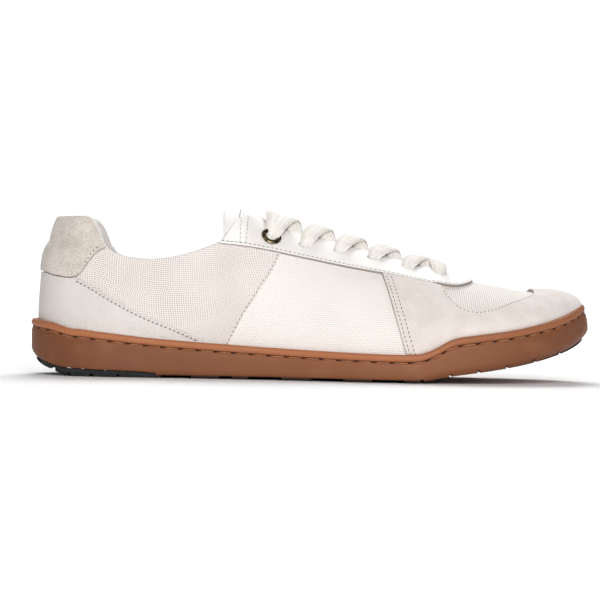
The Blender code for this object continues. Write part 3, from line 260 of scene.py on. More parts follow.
@dataclass
class Last:
    """The form of the foot, by ribs that run from the sole's rim to the spine over the foot.

    Going round, a rib's place is 0 at the heel's back, 1 to 2 on the outer side, 3 at the toe tip,
    4 to 5 on the inner side and 6 at the heel again. Its rise is -1 on the cup's floor, 0 at the
    sole's rim and 1 at the spine. Sizes are in metres.
    """

    shoe_length: float = 0.286
    ball_width: float = 0.102
    heel_width: float = 0.070
    heel_height: float = 0.0802
    collar_height: float = 0.0588
    instep_height: float = 0.0800
    toe_box_height: float = 0.0342
    toe_spring: float = 0.0240
    heel_bevel: float = 0.0105
    floor_bevel: float = 0.80
    sole_base: float = 0.0050
    lug_depth: float = 0.0015
    heel_wall: float = 0.0236
    waist_wall: float = 0.0140
    toe_wall: float = 0.0183
    rim_width: float = 0.0043
    gap: float = 0.0003
    throat_gap: float = 0.0200
    throat_start: float = 0.1150
    throat_end: float = 0.2125
    eyestay_top: float = 0.0955
    heel_pole: float = 0.132
    toe_pole: float = 0.892
    eyelet_setback: float = 0.0075
    eyelet_first: float = 0.1215
    eyelet_last: float = 0.2070
    collar_padding: float = 0.0026
    padding_depth: float = 0.0220
    wall: float = 0.0020
    overlay: float = 0.0012
    edge: Array = field(init=False)
    origin: Array = field(init=False)

    def __post_init__(self) -> None:
        """Works out the outline, and the frame's origin under its middle."""
        self.edge = self.sole_outline()
        self.origin = np.array([*(self.edge.min(axis=0) + self.edge.max(axis=0)) / 2, 0.0])

    def width_at(self, along: Array) -> Array:
        """Half the local width: the heel's behind the waist, the ball's in front of it."""
        return (self.heel_width + (self.ball_width - self.heel_width) * ramp(along, 0.22, 0.66)) / 2

    def sole_outline(self) -> Array:
        """The sole's outer edge seen from above, from the heel round the lateral side."""
        along = OUTLINE["along"]
        points = np.stack([along * self.shoe_length, OUTLINE["across"] * self.width_at(along)], axis=1)
        return closed_curve(points, 900)

    def inset_outline(self, inset: float) -> Array:
        """The outline moved inwards by a distance."""
        ahead = unit(np.roll(self.edge, -1, axis=0) - np.roll(self.edge, 1, axis=0))
        return self.edge + np.stack([-ahead[:, 1], ahead[:, 0]], axis=1) * inset

    def foot(self, place: Array, inset: float) -> tuple[Array, Array]:
        """Where ribs at these places start, on the outline moved inwards: x and y.

        Args:
            place: the ribs, from 0 at the heel round the outer side to 3 at the toe, and back to 6.
            inset: how far inside the outline, in metres.

        Returns:
            Their x and their y.
        """
        place = np.mod(np.asarray(place, float), 6)
        edge = self.inset_outline(inset)
        heel, toe = int(np.argmin(edge[:, 0])), int(np.argmax(edge[:, 0]))
        edge, toe = np.roll(edge, -heel, axis=0), (toe - heel) % len(edge)
        lateral, medial = edge[: toe + 1], np.vstack([edge[toe:], edge[:1]])[::-1]
        x, y = np.zeros_like(place), np.zeros_like(place)
        poles = self.heel_pole * self.shoe_length, self.toe_pole * self.shoe_length
        for side, on_side in ((lateral, place <= 3), (medial, place > 3)):
            way = np.where(place <= 3, place, 6 - place)
            run = way_along(side)
            starts = np.interp(poles[0], side[:, 0], run), np.interp(poles[1], side[:, 0], run)
            far = np.interp(poles[0] + (way - 1) * (poles[1] - poles[0]), side[:, 0], run)
            far = np.where(way < 1, way * starts[0], far)
            far = np.where(way > 2, starts[1] + (way - 2) * (run[-1] - starts[1]), far)
            x = np.where(on_side, np.interp(far, run, side[:, 0]), x)
            y = np.where(on_side, np.interp(far, run, side[:, 1]), y)
        return x, y

    def foot_line(self, place: Array) -> tuple[Array, Array]:
        """Where the upper leaves the sole's rim, for ribs at these places: x and y."""
        return self.foot(place, self.rim_width + self.gap)

    def spine_x(self, place: Array) -> Array:
        """How far forward the ribs' inner ends are: fans share the heel's and the toe's pole."""
        way = np.where(np.mod(place, 6) <= 3, np.mod(place, 6), 6 - np.mod(place, 6))
        share = self.heel_pole + (np.clip(way, 1, 2) - 1) * (self.toe_pole - self.heel_pole)
        return share * self.shoe_length

    def underside(self, x: Array) -> Array:
        """The tread's height: flat under the foot, with the toe spring and the heel's bevel."""
        along = np.asarray(x, float) / self.shoe_length
        spring, bevel = (eased(SOLE_SIDE, name, along) for name in ("lift", "bevel"))
        return self.toe_spring * spring + self.heel_bevel * bevel

    def cup_floor(self, x: Array) -> Array:
        """The inside of the cup, on which the upper and the insole stand."""
        along = np.asarray(x, float) / self.shoe_length
        bevel = self.floor_bevel * self.heel_bevel * eased(SOLE_SIDE, "bevel", along)
        return self.sole_base + self.toe_spring * eased(SOLE_SIDE, "lift", along) + bevel

    def rim_height(self, x: Array) -> Array:
        """The top of the sole's side wall."""
        along = np.asarray(x, float) / self.shoe_length
        more_heel = (self.heel_wall - self.waist_wall) * eased(SOLE_SIDE, "heel_wall", along)
        more_toe = (self.toe_wall - self.waist_wall) * eased(SOLE_SIDE, "toe_wall", along)
        return self.underside(x) + self.waist_wall + more_heel + more_toe

    def spine_height(self, x: Array) -> Array:
        """The top of the last above its spine. Behind the instep this is the closed ankle of the last."""
        rise = eased(SPINE, "rise", np.asarray(x, float) / self.shoe_length)
        return self.underside(x) + self.toe_box_height + (self.instep_height - self.toe_box_height) * rise

    def spine_y(self, x: Array) -> Array:
        """How far the spine lies towards the big toe."""
        return eased(SPINE, "across", np.asarray(x, float) / self.shoe_length) * self.ball_width / 2

    def boxiness(self, place: Array) -> Array:
        """The section's roundness at these places, blended round heel and toe.

        Args:
            place: the ribs.

        Returns:
            The exponent of each rib's section, where 2 is an ellipse.
        """
        along = self.spine_x(place) / self.shoe_length
        around = np.mod(place, 6)
        medial = ramp(around, 2.2, 3.8) * (1 - ramp(around, 5.2, 6.0)) + 0.5 * ramp(around, 5.2, 6.0)
        medial = medial + 0.5 * (1 - ramp(around, 0.0, 0.8))
        return (1 - medial) * eased(SPINE, "lateral", along) + medial * eased(SPINE, "medial", along)

    def point(self, place: Array, rise: Array, inset: float = 0.0046) -> Array:
        """Points of the last's surface.

        Args:
            place: the ribs.
            rise: how far up them: -1 on the cup's floor, 0 at the sole's rim, 1 at the spine.
            inset: how far inside the outline the ribs start.

        Returns:
            The points.
        """
        place, rise = np.broadcast_arrays(np.asarray(place, float), np.asarray(rise, float))
        fx, fy = self.foot(place, inset)
        sx = self.spine_x(place)
        sy, sz = self.spine_y(sx), self.spine_height(sx)
        rim, floor = self.rim_height(fx), self.cup_floor(fx) + self.gap
        reach = np.hypot(sx - fx, sy - fy)
        step = 0.0015
        slope = (self.spine_height(sx + step) - self.spine_height(sx - step)) / (2 * step) * (fx - sx) / reach
        slope = slope * ramp(np.abs(fx - sx), 0.0, 0.02) * (sx > 0.5 * self.shoe_length)
        up = np.clip(rise, 0, 1) * math.pi / 2
        power = 2 / self.boxiness(place)
        height = np.sin(up) ** power
        inward = 1 - np.cos(up) ** power
        z = rim + (sz - rim + slope * reach) * height - slope * reach * inward
        lean_height = z / self.heel_height
        back = np.clip((sx - fx) / reach, 0, 1) ** 2
        lean = back * eased(LEAN, "back", lean_height) + (1 - back) * eased(LEAN, "side", lean_height)
        rear = (1 - ramp(fx / self.shoe_length, 0.30, 0.46)) * (1 - ramp(rise, 0.52, 0.98))
        inward = (1 - rear) * inward + rear * np.minimum(lean * self.heel_width / reach, 0.9)
        z = np.where(rise < 0, rim + (rim - floor) * rise, z)
        inward = np.where(rise < 0, 0, inward)
        return np.stack([fx + (sx - fx) * inward, fy + (sy - fy) * inward, z], axis=-1)

    def normal(self, place: Array, rise: Array) -> Array:
        """Outward unit normals of the last's surface.

        Args:
            place: the ribs.
            rise: how far up them.

        Returns:
            The normals.
        """
        place, rise = np.broadcast_arrays(np.asarray(place, float), np.asarray(rise, float))
        rise = np.clip(rise, -0.98, 0.985)
        step = 0.004
        around = self.point(place + step, rise) - self.point(place - step, rise)
        upward = self.point(place, rise + step) - self.point(place, rise - step)
        return unit(np.cross(around, upward))

    def relief(self, points: Array) -> Array:
        """How far the soft folds push the surface out at points of it, the same on both sides.

        Args:
            points: points of the surface.

        Returns:
            The distance at each, in metres.
        """
        along, height = points[..., 0], points[..., 2]
        total = np.zeros(along.shape)
        size = np.array([self.shoe_length, self.heel_height])
        for x, z, to_x, to_z, width, depth in zip(*FOLDS.values()):
            start = np.array([x, z]) * size
            way = np.array([to_x, to_z]) * size - start
            share = ((along - start[0]) * way[0] + (height - start[1]) * way[1]) / (way @ way)
            near = np.clip(share, 0, 1)
            away = np.hypot(along - start[0] - near * way[0], height - start[1] - near * way[1])
            total += depth * np.exp(-((away / width) ** 2)) * np.sin(math.pi * np.clip(near, 0.06, 0.94))
        return total

    def skin(self, place: Array, rise: Array, away: Array) -> Array:
        """Points over the last's surface with its soft folds.

        Args:
            place: the ribs.
            rise: how far up them.
            away: how far outside the surface, or inside it where it is negative.

        Returns:
            The points.
        """
        base = self.point(place, rise)
        out = np.asarray(away, float) + self.relief(base)
        return base + self.normal(place, rise) * out[..., None]

    def side_place(self, x: Array, medial: bool = False) -> Array:
        """The place of the rib whose spine is this far forward."""
        poles = self.heel_pole * self.shoe_length, self.toe_pole * self.shoe_length
        way = 1 + (np.asarray(x, float) - poles[0]) / (poles[1] - poles[0])
        return 6 - way if medial else way

    def beside_spine(self, place: Array, rise: Array) -> Array:
        """How far points of the last's surface are from their rib's spine, seen from above."""
        points = self.point(place, rise)
        x = self.spine_x(place)
        return np.hypot(points[..., 0] - x, points[..., 1] - self.spine_y(x))

    def rise_at_height(self, place: Array, z: Array) -> Array:
        """Where ribs reach a height.

        Args:
            place: the ribs.
            z: the height wanted on each.

        Returns:
            How far up each rib that is.
        """
        tries = np.linspace(0, 1, 161)
        ribs = np.ravel(place)
        heights = np.maximum.accumulate(self.point(ribs[:, None], tries[None])[..., 2], axis=1)
        goals = np.ravel(np.broadcast_to(z, np.shape(place)))
        found = [np.interp(goal, row, tries) for goal, row in zip(goals, heights)]
        return np.array(found).reshape(np.shape(place))

    def rise_at_reach(self, place: Array, beside: Array) -> Array:
        """Where ribs come this close to the spine, seen from above.

        Args:
            place: the ribs.
            beside: the distance wanted on each.

        Returns:
            How far up each rib that is.
        """
        tries = np.linspace(0, 1, 161)
        ribs, goals = np.unique(np.round(np.ravel(place), 9), return_inverse=True)
        away = np.maximum.accumulate(self.beside_spine(ribs[:, None], tries[None])[:, ::-1], axis=1)
        wanted = np.ravel(np.broadcast_to(beside, np.shape(place)))
        found = [np.interp(goal, away[k], tries[::-1]) for goal, k in zip(wanted, goals)]
        return np.array(found).reshape(np.shape(place))

    def throat_half(self, x: Array) -> Array:
        """Half the throat's width, rounded off at its front end."""
        half = self.throat_gap / 2
        past = np.clip((np.asarray(x, float) - (self.throat_end - half)) / half, 0, 1)
        return half * np.sqrt(1 - past**2)

    def collar_at(self, x: Array) -> Array:
        """The collar's height above the floor."""
        share = eased(COLLAR, "height", np.asarray(x, float) / self.shoe_length)
        return self.collar_height + (self.heel_height - self.collar_height) * share

    def edge_rise(self, place: Array) -> Array:
        """How far up each rib the upper goes: to the collar, to the throat, or to the spine (1).

        Args:
            place: the ribs.

        Returns:
            The share of each rib that the upper covers.
        """
        place = np.asarray(place, float)
        fx = self.foot_line(place)[0]
        heights = self.rise_at_height(place, self.collar_at(fx))
        throat = self.rise_at_reach(place, self.throat_half(self.spine_x(place)))
        forward = ramp(fx, self.eyestay_top, self.throat_start)
        return np.where(fx >= self.throat_end - 1e-6, 1.0, heights + (throat - heights) * forward)

    def rim_rise(self, place: Array) -> Array:
        """Just above the sole's rim."""
        rim = self.rim_height(self.foot_line(place)[0])
        return self.rise_at_height(place, rim + self.gap + self.overlay / 2)

    def plan_place(self, x: Array, y: Array) -> tuple[Array, Array]:
        """Place and rise of the last's surface under points seen from above, in front of the ankle.

        Args:
            x: how far forward they are.
            y: how far to the inner side.

        Returns:
            Their ribs, and how far up them they are.
        """
        x, y = np.broadcast_arrays(np.asarray(x, float), np.asarray(y, float))
        medial = y > self.spine_y(x)
        places = np.where(medial, self.side_place(x, True), self.side_place(x))
        return places, self.rise_at_reach(places, np.abs(y - self.spine_y(x)))

    def skin_from_above(self, x: Array, y: Array, away: Array) -> Array:
        """Points over the instep, given from above, at a distance from the last's surface."""
        places, rises = self.plan_place(x, y)
        return self.skin(places, rises, np.broadcast_to(away, places.shape))

    def eyestay_rises(self, x: Array) -> tuple[Array, Array]:
        """Where the eyestay's lower edge crosses the ribs at x, on the lateral and on the medial side.

        Args:
            x: how far forward the ribs are.

        Returns:
            How far up the rib that is, on each side.
        """
        height = eased(EYESTAY_SEAM, "height", x / self.shoe_length) * self.heel_height
        lateral = self.rise_at_height(self.side_place(x), height)
        beside = self.beside_spine(self.side_place(x), lateral)
        by_height = self.rise_at_height(self.side_place(x, True), height)
        by_reach = self.rise_at_reach(self.side_place(x, True), beside)
        return lateral, by_height + (by_reach - by_height) * ramp(x / self.shoe_length, 0.45, 0.66)

    def eyelet_spots(self) -> list[tuple[float, float]]:
        """Where the eyelets are, seen from above: x and the distance from the spine."""
        xs = np.linspace(self.eyelet_first, self.eyelet_last, 6)
        straight = self.throat_end - self.throat_gap / 2
        return [(x, self.throat_half(min(x, straight)) + self.eyelet_setback) for x in xs]

    def spot_frame(self, x: float, beside: float, side: Side) -> tuple[Array, Array]:
        """Centre and outward normal of the last's surface at an eyelet.

        Args:
            x: how far forward it is.
            beside: how far it is from the spine.
            side: on which side.

        Returns:
            The centre and the normal.
        """
        y = np.array([self.spine_y(x) + side.value * beside])
        places, rises = self.plan_place(np.array([x]), y)
        return self.point(places, rises)[0], self.normal(places, rises)[0]

    def wall_thickness(self, places: Array, rises: Array, edges: Array) -> Array:
        """The wall, thicker towards the collar where it is padded.

        Args:
            places: rows by columns.
            rises: rows by columns.
            edges: how far up each column goes.

        Returns:
            The thickness at each point.
        """
        points = self.point(places, rises)
        tops = self.point(places[:1], edges[None])
        below = tops[..., 2] - points[..., 2]
        behind = 1 - ramp(points[..., 0], self.eyestay_top - 1.2 * self.padding_depth, self.eyestay_top)
        above = 1 - ramp(below, 0.2 * self.padding_depth, self.padding_depth)
        return self.wall + self.collar_padding * behind * above


# Shares of the length and of the heel's height, with the width and the depth in metres.
FOLDS = table(
    "along height to_along to_height width depth",
    (0.170, 0.700, 0.235, 0.480, 0.0060, -0.00045), (0.215, 0.720, 0.270, 0.560, 0.0055, 0.00035),
    (0.300, 0.780, 0.330, 0.560, 0.0060, -0.00040), (0.360, 0.760, 0.370, 0.620, 0.0050, 0.00030),
    (0.470, 0.700, 0.440, 0.420, 0.0080, -0.00030), (0.560, 0.640, 0.545, 0.380, 0.0080, 0.00030),
    (0.640, 0.600, 0.655, 0.360, 0.0060, -0.00035), (0.700, 0.560, 0.715, 0.380, 0.0060, 0.00035),
    (0.742, 0.620, 0.738, 0.470, 0.0045, -0.00050), (0.752, 0.840, 0.754, 0.480, 0.0078, -0.00160),
)


class Graph:
    """A material's nodes, written as short calls."""

    def __init__(self, name: str) -> None:
        """Starts a material with a bare shader."""
        self.material = bpy.data.materials.new(name)
        self.material.use_nodes = True
        self.tree = self.material.node_tree
        self.shader = self.tree.nodes["Principled BSDF"]
        self.spot = 0

    def node(self, kind: str, **settings: object) -> bpy.types.Node:
        """Adds a node of a type, named without its ShaderNode prefix, and gives it its settings.

        Args:
            kind: its type.
            settings: its settings by their names.

        Returns:
            The node.
        """
        node = self.tree.nodes.new("ShaderNode" + kind)
        for key, value in settings.items():
            setattr(node, key, value)
        self.spot += 1
        node.location = (-220 * (self.spot % 12), -180 * (self.spot // 12))
        return node

    def feed(self, socket: Socket, value: object) -> None:
        """Links a socket to another one, or sets its value."""
        if isinstance(value, bpy.types.NodeSocket):
            self.tree.links.new(value, socket)
        else:
            socket.default_value = value

    def place(self, kind: str = "Object") -> Socket:
        """The coordinates of one kind: Object or UV."""
        return self.node("TexCoord").outputs[kind]

    def marked(self, name: str) -> Socket:
        """The mesh's own attribute of that name."""
        return self.node("Attribute", attribute_name=name).outputs["Fac"]

    def split(self, vector: Socket) -> tuple[Socket, Socket, Socket]:
        """The three numbers of a vector."""
        node = self.node("SeparateXYZ")
        self.feed(node.inputs[0], vector)
        return node.outputs[0], node.outputs[1], node.outputs[2]

    def math(self, kind: str, *values: object, clamp: bool = False) -> Socket:
        """One sum.

        Args:
            kind: the sum, such as ADD, SINE or MULTIPLY_ADD.
            values: its numbers or sockets.
            clamp: True to keep the result from 0 to 1.

        Returns:
            The result's socket.
        """
        node = self.node("Math", operation=kind, use_clamp=clamp)
        for socket, value in zip(node.inputs, values):
            self.feed(socket, value)
        return node.outputs[0]

    def step(
        self, value: Socket, low: float, high: float, to_low: float = 0.0, to_high: float = 1.0
    ) -> Socket:
        """A smooth step between two values.

        Args:
            value: what is read.
            low: where the step starts.
            high: where it ends.
            to_low: the result before it.
            to_high: the result after it.

        Returns:
            The result's socket.
        """
        node = self.node("MapRange", interpolation_type="SMOOTHSTEP")
        for socket, number in zip(node.inputs, (value, low, high, to_low, to_high)):
            self.feed(socket, number)
        return node.outputs[0]

    def noise(self, scale: float, detail: float = 2.0) -> Socket:
        """Cloudy noise about 0.5, on the object's coordinates, with so many features to a metre.

        Args:
            scale: how many features.
            detail: how fine its smallest ones are.

        Returns:
            The noise.
        """
        node = self.node("TexNoise")
        self.feed(node.inputs["Vector"], self.place())
        node.inputs["Scale"].default_value = scale
        node.inputs["Detail"].default_value = detail
        return node.outputs["Fac"]

    def blend(self, share: object, first: object, second: object) -> Socket:
        """A colour between two others: the first where the share is 0, the second where it is 1.

        Args:
            share: how much of the second.
            first: a colour.
            second: a colour.

        Returns:
            The blend.
        """
        node = self.node("Mix", data_type="RGBA")
        for spot, value in ((0, share), (6, first), (7, second)):
            self.feed(node.inputs[spot], value)
        return node.outputs[2]

    def wave(self, value: Socket, pitch: float) -> Socket:
        """A sine wave from -1 to 1 along one coordinate."""
        return self.math("SINE", self.math("MULTIPLY", value, 2 * math.pi / pitch))

    def dress(
        self, colour: Socket, roughness: object, height: Socket, depth: float, **uniform: float
    ) -> Finish:
        """Feeds the shader.

        Args:
            colour: the base colour.
            roughness: a number or a socket.
            height: the relief, from 0 to 1.
            depth: how deep the relief is, in metres.
            uniform: other shader values that are the same all over, with _ for a space.

        Returns:
            The material.
        """
        bump = self.node("Bump")
        bump.inputs["Distance"].default_value = depth
        self.feed(bump.inputs["Height"], height)
        self.feed(self.shader.inputs["Base Color"], colour)
        self.feed(self.shader.inputs["Roughness"], roughness)
        self.feed(self.shader.inputs["Normal"], bump.outputs[0])
        for key, value in uniform.items():
            self.shader.inputs[key.replace("_", " ")].default_value = value
        return self.material


def tone(red: int, green: int, blue: int) -> tuple[float, float, float, float]:
    """A colour as the shader wants it, from its values on a screen."""
    linear = [((v / 255 + 0.055) / 1.055) ** 2.4 for v in (red, green, blue)]
    return linear[0], linear[1], linear[2], 1.0


@dataclass(frozen=True)
class Weave:
    """Open mesh: staggered slanted holes between warm white threads, with ribs in front of a line across; the
    holes and the grooves between the ribs are painted in a darker tone, as painted shade.
    """

    name: str
    thread: tuple
    # hole: the darker tone, painted shade in the holes and between the ribs.
    hole: tuple
    across: float
    row: float
    lean: float = 0.35
    depth: float = 0.0002
    ribs_from: float = 1.0
    rib: float = 0.00105

    def material(self) -> Finish:
        """The material, on the piece's own UV map in metres."""
        graph = Graph(self.name)
        u, v, _ = graph.split(graph.place("UV"))
        x, _, _ = graph.split(graph.place())
        wobble = graph.math("MULTIPLY_ADD", graph.noise(60, 2), 0.0007, u)
        slant = graph.math("MULTIPLY_ADD", v, self.lean, wobble)
        line = graph.wave(v, 2 * self.row)
        thin = graph.math("MULTIPLY", line, graph.math("MULTIPLY", line, line))
        cells = graph.math("MULTIPLY", graph.wave(slant, self.across), thin)
        cross = graph.math("MULTIPLY", graph.wave(v, self.rib * 0.8), 0.25)
        ribs = graph.math("MULTIPLY_ADD", graph.wave(x, self.rib), 0.8, cross)
        front = graph.step(x, self.ribs_from - ORIGIN_X - 0.001, self.ribs_from - ORIGIN_X + 0.001)
        cells = graph.math("MULTIPLY_ADD", front, graph.math("SUBTRACT", ribs, cells), cells)
        patch = graph.step(graph.noise(22, 2), 0.35, 0.70, 0.55, 1.0)
        holes = graph.math("MULTIPLY", graph.step(cells, 0.04, 0.40), patch)
        # Painted shade: the holes, and the grooves between the ribs in front, take the darker tone.
        colour = graph.blend(holes, self.thread, self.hole)
        height = graph.math("MULTIPLY_ADD", graph.noise(2600, 3), 0.3, graph.math("MULTIPLY", cells, -0.5))
        return graph.dress(colour, 0.85, height, self.depth, Sheen_Weight=0.15, Sheen_Roughness=0.5)


@dataclass(frozen=True)
class Cloth:
    """Plain close cloth, for the lining, the tongue and the footbed."""

    name: str
    light: tuple
    dark: tuple
    pitch: float = 0.0009
    depth: float = 0.00012

    def material(self) -> Finish:
        """The material, on the object's coordinates."""
        graph = Graph(self.name)
        x, y, z = graph.split(graph.place())
        first = graph.wave(graph.math("MULTIPLY_ADD", z, 0.5, x), self.pitch)
        second = graph.wave(graph.math("MULTIPLY_ADD", z, 0.8, y), self.pitch)
        cells = graph.math("MULTIPLY", first, second)
        cloud = graph.step(graph.noise(35, 3), 0.35, 0.75, 0.0, 0.6)
        share = graph.math("MULTIPLY_ADD", cells, 0.2, cloud, clamp=True)
        colour = graph.blend(share, self.light, self.dark)
        height = graph.math("ADD", cells, graph.noise(2500, 2))
        return graph.dress(colour, 0.9, height, self.depth, Sheen_Weight=0.2, Sheen_Roughness=0.5)


@dataclass(frozen=True)
class Leather:
    """Smooth white leather with a fine grain and a soft gloss."""

    name: str
    light: tuple
    dark: tuple
    roughness: float = 0.46
    # Painted shade: the grey of the cut edge, for the shade along the panel's edge.
    edge: tuple = tone(158, 151, 146)
    depth: float = 0.00008

    def material(self) -> Finish:
        """The material. The attribute "cut_edge" marks a panel's cut edge, which is painted grey as painted
        shade along the edge.
        """
        graph = Graph(self.name)
        grain = graph.node("TexVoronoi", feature="DISTANCE_TO_EDGE")
        graph.feed(grain.inputs["Vector"], graph.place())
        grain.inputs["Scale"].default_value = 1100
        pores = graph.step(grain.outputs["Distance"], 0.0, 0.25)
        colour = graph.blend(graph.step(graph.noise(28, 4), 0.35, 0.75), self.light, self.dark)
        # Painted shade along the cut edge.
        colour = graph.blend(graph.marked("cut_edge"), colour, self.edge)
        rough = graph.math("MULTIPLY_ADD", graph.noise(90, 3), 0.16, self.roughness - 0.08)
        height = graph.math("MULTIPLY_ADD", graph.noise(420, 3), 1.2, pores)
        return graph.dress(colour, rough, height, self.depth, Coat_Weight=0.1, Coat_Roughness=0.35)


@dataclass(frozen=True)
class Suede:
    """Pale suede: a short nap with lighter and darker strokes."""

    name: str
    light: tuple
    dark: tuple
    fleck: tuple
    flecks: float = 0.35
    nap: float = 1500.0
    # Painted shade: the grey of the cut edge, for the shade along the panel's edge.
    edge: tuple = tone(150, 139, 131)
    depth: float = 0.00022

    def material(self) -> Finish:
        """The material. The attribute "cut_edge" marks a panel's cut edge, which is painted grey as painted
        shade along the edge.
        """
        graph = Graph(self.name)
        nap = graph.noise(self.nap, 4)
        colour = graph.blend(graph.step(graph.noise(130, 5), 0.34, 0.70), self.light, self.dark)
        colour = graph.blend(graph.step(nap, 0.50, 0.72, 0.0, self.flecks), colour, self.fleck)
        # Painted shade along the cut edge.
        colour = graph.blend(graph.marked("cut_edge"), colour, self.edge)
        height = graph.math("MULTIPLY_ADD", graph.noise(380, 2), 0.7, nap)
        return graph.dress(colour, 0.95, height, self.depth, Sheen_Weight=0.3, Sheen_Roughness=0.6)


@dataclass(frozen=True)
class Gum:
    """Gum rubber: a painted highlight that makes the bead lighter, darker towards the ends, painted shade as
    a dark line in the groove, and a painted shadow along the ground.
    """

    # Painted highlight: the bead's lighter tone stands for the light from above on it.
    bead: tuple = tone(176, 110, 73)
    wall: tuple = tone(138, 85, 54)
    end: tuple = tone(121, 73, 46)
    # Painted shade: the dark tone of the stitched groove.
    groove: tuple = tone(62, 33, 20)
    dust: tuple = tone(166, 116, 84)
    # Painted shadow: near black, for the contact shadow along the ground.
    ground_shadow: tuple = tone(40, 28, 22)
    depth: float = 0.00005

    def material(self) -> Finish:
        """The material. The attribute "under_rim" is how far a point is below the rim, in metres."""
        graph = Graph("gum_rubber_worn")
        x, _, z = graph.split(graph.place())
        below = graph.marked("under_rim")
        wall = graph.blend(graph.step(x, -0.145, 0.0), self.end, self.wall)
        wall = graph.blend(graph.step(x, 0.05, 0.13), wall, self.end)
        # Painted highlight: the bead is painted lighter than the wall, less so towards the toe.
        bead = graph.blend(graph.step(x, 0.035, 0.09, 0.0, 0.6), self.bead, self.wall)
        colour = graph.blend(graph.step(below, 0.0030, 0.0055), bead, wall)
        cloud = graph.noise(45, 4)
        colour = graph.blend(graph.step(cloud, 0.50, 0.78, 0.0, 0.3), colour, self.dust)
        # Painted shade: a dark line in the groove, 3.3 to 4.6 mm under the rim.
        start, end = graph.step(below, 0.0033, 0.0037), graph.step(below, 0.0041, 0.0046, 0.9, 0.0)
        line = graph.math("MULTIPLY", start, end)
        colour = graph.blend(line, colour, self.groove)
        # Painted shadow: the gum turns near black up to 0.9 mm above the floor, fading out by 2.4 mm.
        colour = graph.blend(graph.step(z, 0.0009, 0.0024, 1.0, 0.0), colour, self.ground_shadow)
        rough = graph.math("MULTIPLY_ADD", graph.noise(160, 4), 0.3, 0.40)
        height = graph.math("MULTIPLY_ADD", cloud, 2.0, graph.noise(900, 3))
        return graph.dress(colour, rough, height, self.depth, Specular_IOR_Level=0.3)


@dataclass(frozen=True)
class Plain:
    """A small part's finish: one tone with a slight mottle."""

    name: str
    light: tuple
    dark: tuple
    roughness: float = 0.8
    metal: float = 0.0
    scale: float = 900.0
    depth: float = 0.00004

    def material(self) -> Finish:
        """The material, on the object's coordinates."""
        graph = Graph(self.name)
        mottle = graph.noise(self.scale, 3)
        colour = graph.blend(graph.step(mottle, 0.35, 0.70), self.light, self.dark)
        return graph.dress(colour, self.roughness, mottle, self.depth, Metallic=self.metal)


@dataclass(frozen=True)
class FlatLace:
    """A flat cotton lace: slanted stitches in rows along it, in warm off-white tones."""

    light: tuple = tone(255, 251, 245)
    dark: tuple = tone(232, 219, 202)
    width: float = 0.0090
    pitch: float = 0.0013
    depth: float = 0.00017

    def material(self) -> Finish:
        """The material, on the lace's own UV map: across and along it, in metres."""
        graph = Graph("cotton_lace_woven")
        u, v, _ = graph.split(graph.place("UV"))
        folded = graph.math("ABSOLUTE", graph.wave(u, self.width / 3))
        rows = graph.wave(graph.math("MULTIPLY_ADD", folded, 0.0006, v), self.pitch)
        columns = graph.wave(u, self.width / 7)
        knit = graph.math("MULTIPLY_ADD", columns, 0.6, graph.math("MULTIPLY", rows, 0.6))
        cloud = graph.step(graph.noise(150, 3), 0.3, 0.75, 0.02, 0.35)
        share = graph.math("MULTIPLY_ADD", knit, -0.12, cloud, clamp=True)
        colour = graph.blend(share, self.light, self.dark)
        return graph.dress(colour, 0.9, knit, self.depth, Sheen_Weight=0.25, Sheen_Roughness=0.5)


class Palette:
    """The finishes, each made once."""

    def __init__(self) -> None:
        """Makes the materials."""
        # The second tone of each mesh is the painted shade in its holes.
        white, grey = tone(243, 235, 230), tone(144, 126, 111)
        open_mesh = Weave("open_mesh", white, grey, 0.00122, 0.00107, 0.9)
        white, grey = tone(249, 243, 238), tone(206, 196, 188)
        fine_mesh = Weave("fine_mesh", white, grey, 0.0012, 0.0011, 0.9, 0.00015, 0.205)
        lining = Cloth("lining_cloth", tone(244, 240, 236), tone(222, 215, 208))
        footbed = Cloth("footbed_cloth", tone(226, 220, 212), tone(196, 187, 176), 0.0011)
        leather = Leather("white_leather_fine", tone(250, 246, 243), tone(238, 233, 229))
        heel_leather = Leather("heel_leather_fine", tone(228, 221, 216), tone(214, 206, 200), 0.5)
        suede = Suede("pale_suede_nap", tone(232, 223, 217), tone(224, 214, 207), tone(200, 189, 180))
        light, dark, fleck = tone(220, 210, 201), tone(204, 193, 183), tone(160, 146, 133)
        tab_suede = Suede("tab_suede_nap", light, dark, fleck, 0.8, 1350.0)
        slate = Plain("slate_rubber_worn", tone(40, 43, 46), tone(22, 24, 27), 0.7, scale=300.0)
        brass = Plain("aged_brass_worn", tone(150, 136, 104), tone(30, 26, 20), 0.3, 1.0, 500.0)
        thread = Plain("sewing_thread", tone(236, 230, 223), tone(212, 203, 193), scale=2000.0)
        self.open_mesh, self.fine_mesh = open_mesh.material(), fine_mesh.material()
        self.lining, self.footbed = lining.material(), footbed.material()
        self.leather, self.heel_leather = leather.material(), heel_leather.material()
        self.suede, self.tab_suede = suede.material(), tab_suede.material()
        self.gum, self.slate, self.brass = Gum().material(), slate.material(), brass.material()
        self.thread = thread.material()
        # Painted shade: the dark beads that stand for the needle holes.
        self.dark = Plain("needle_hole", tone(128, 119, 114), tone(98, 90, 86)).material()
        self.gum_thread = Plain("gum_thread", tone(176, 122, 86), tone(140, 90, 60), 0.7).material()
        # Painted shade: the dark beads that stand for the stitch holes in the gum.
        self.gum_hole_shade = Plain("gum_needle_hole", tone(60, 32, 20), tone(42, 22, 14)).material()
        self.lace = FlatLace().material()


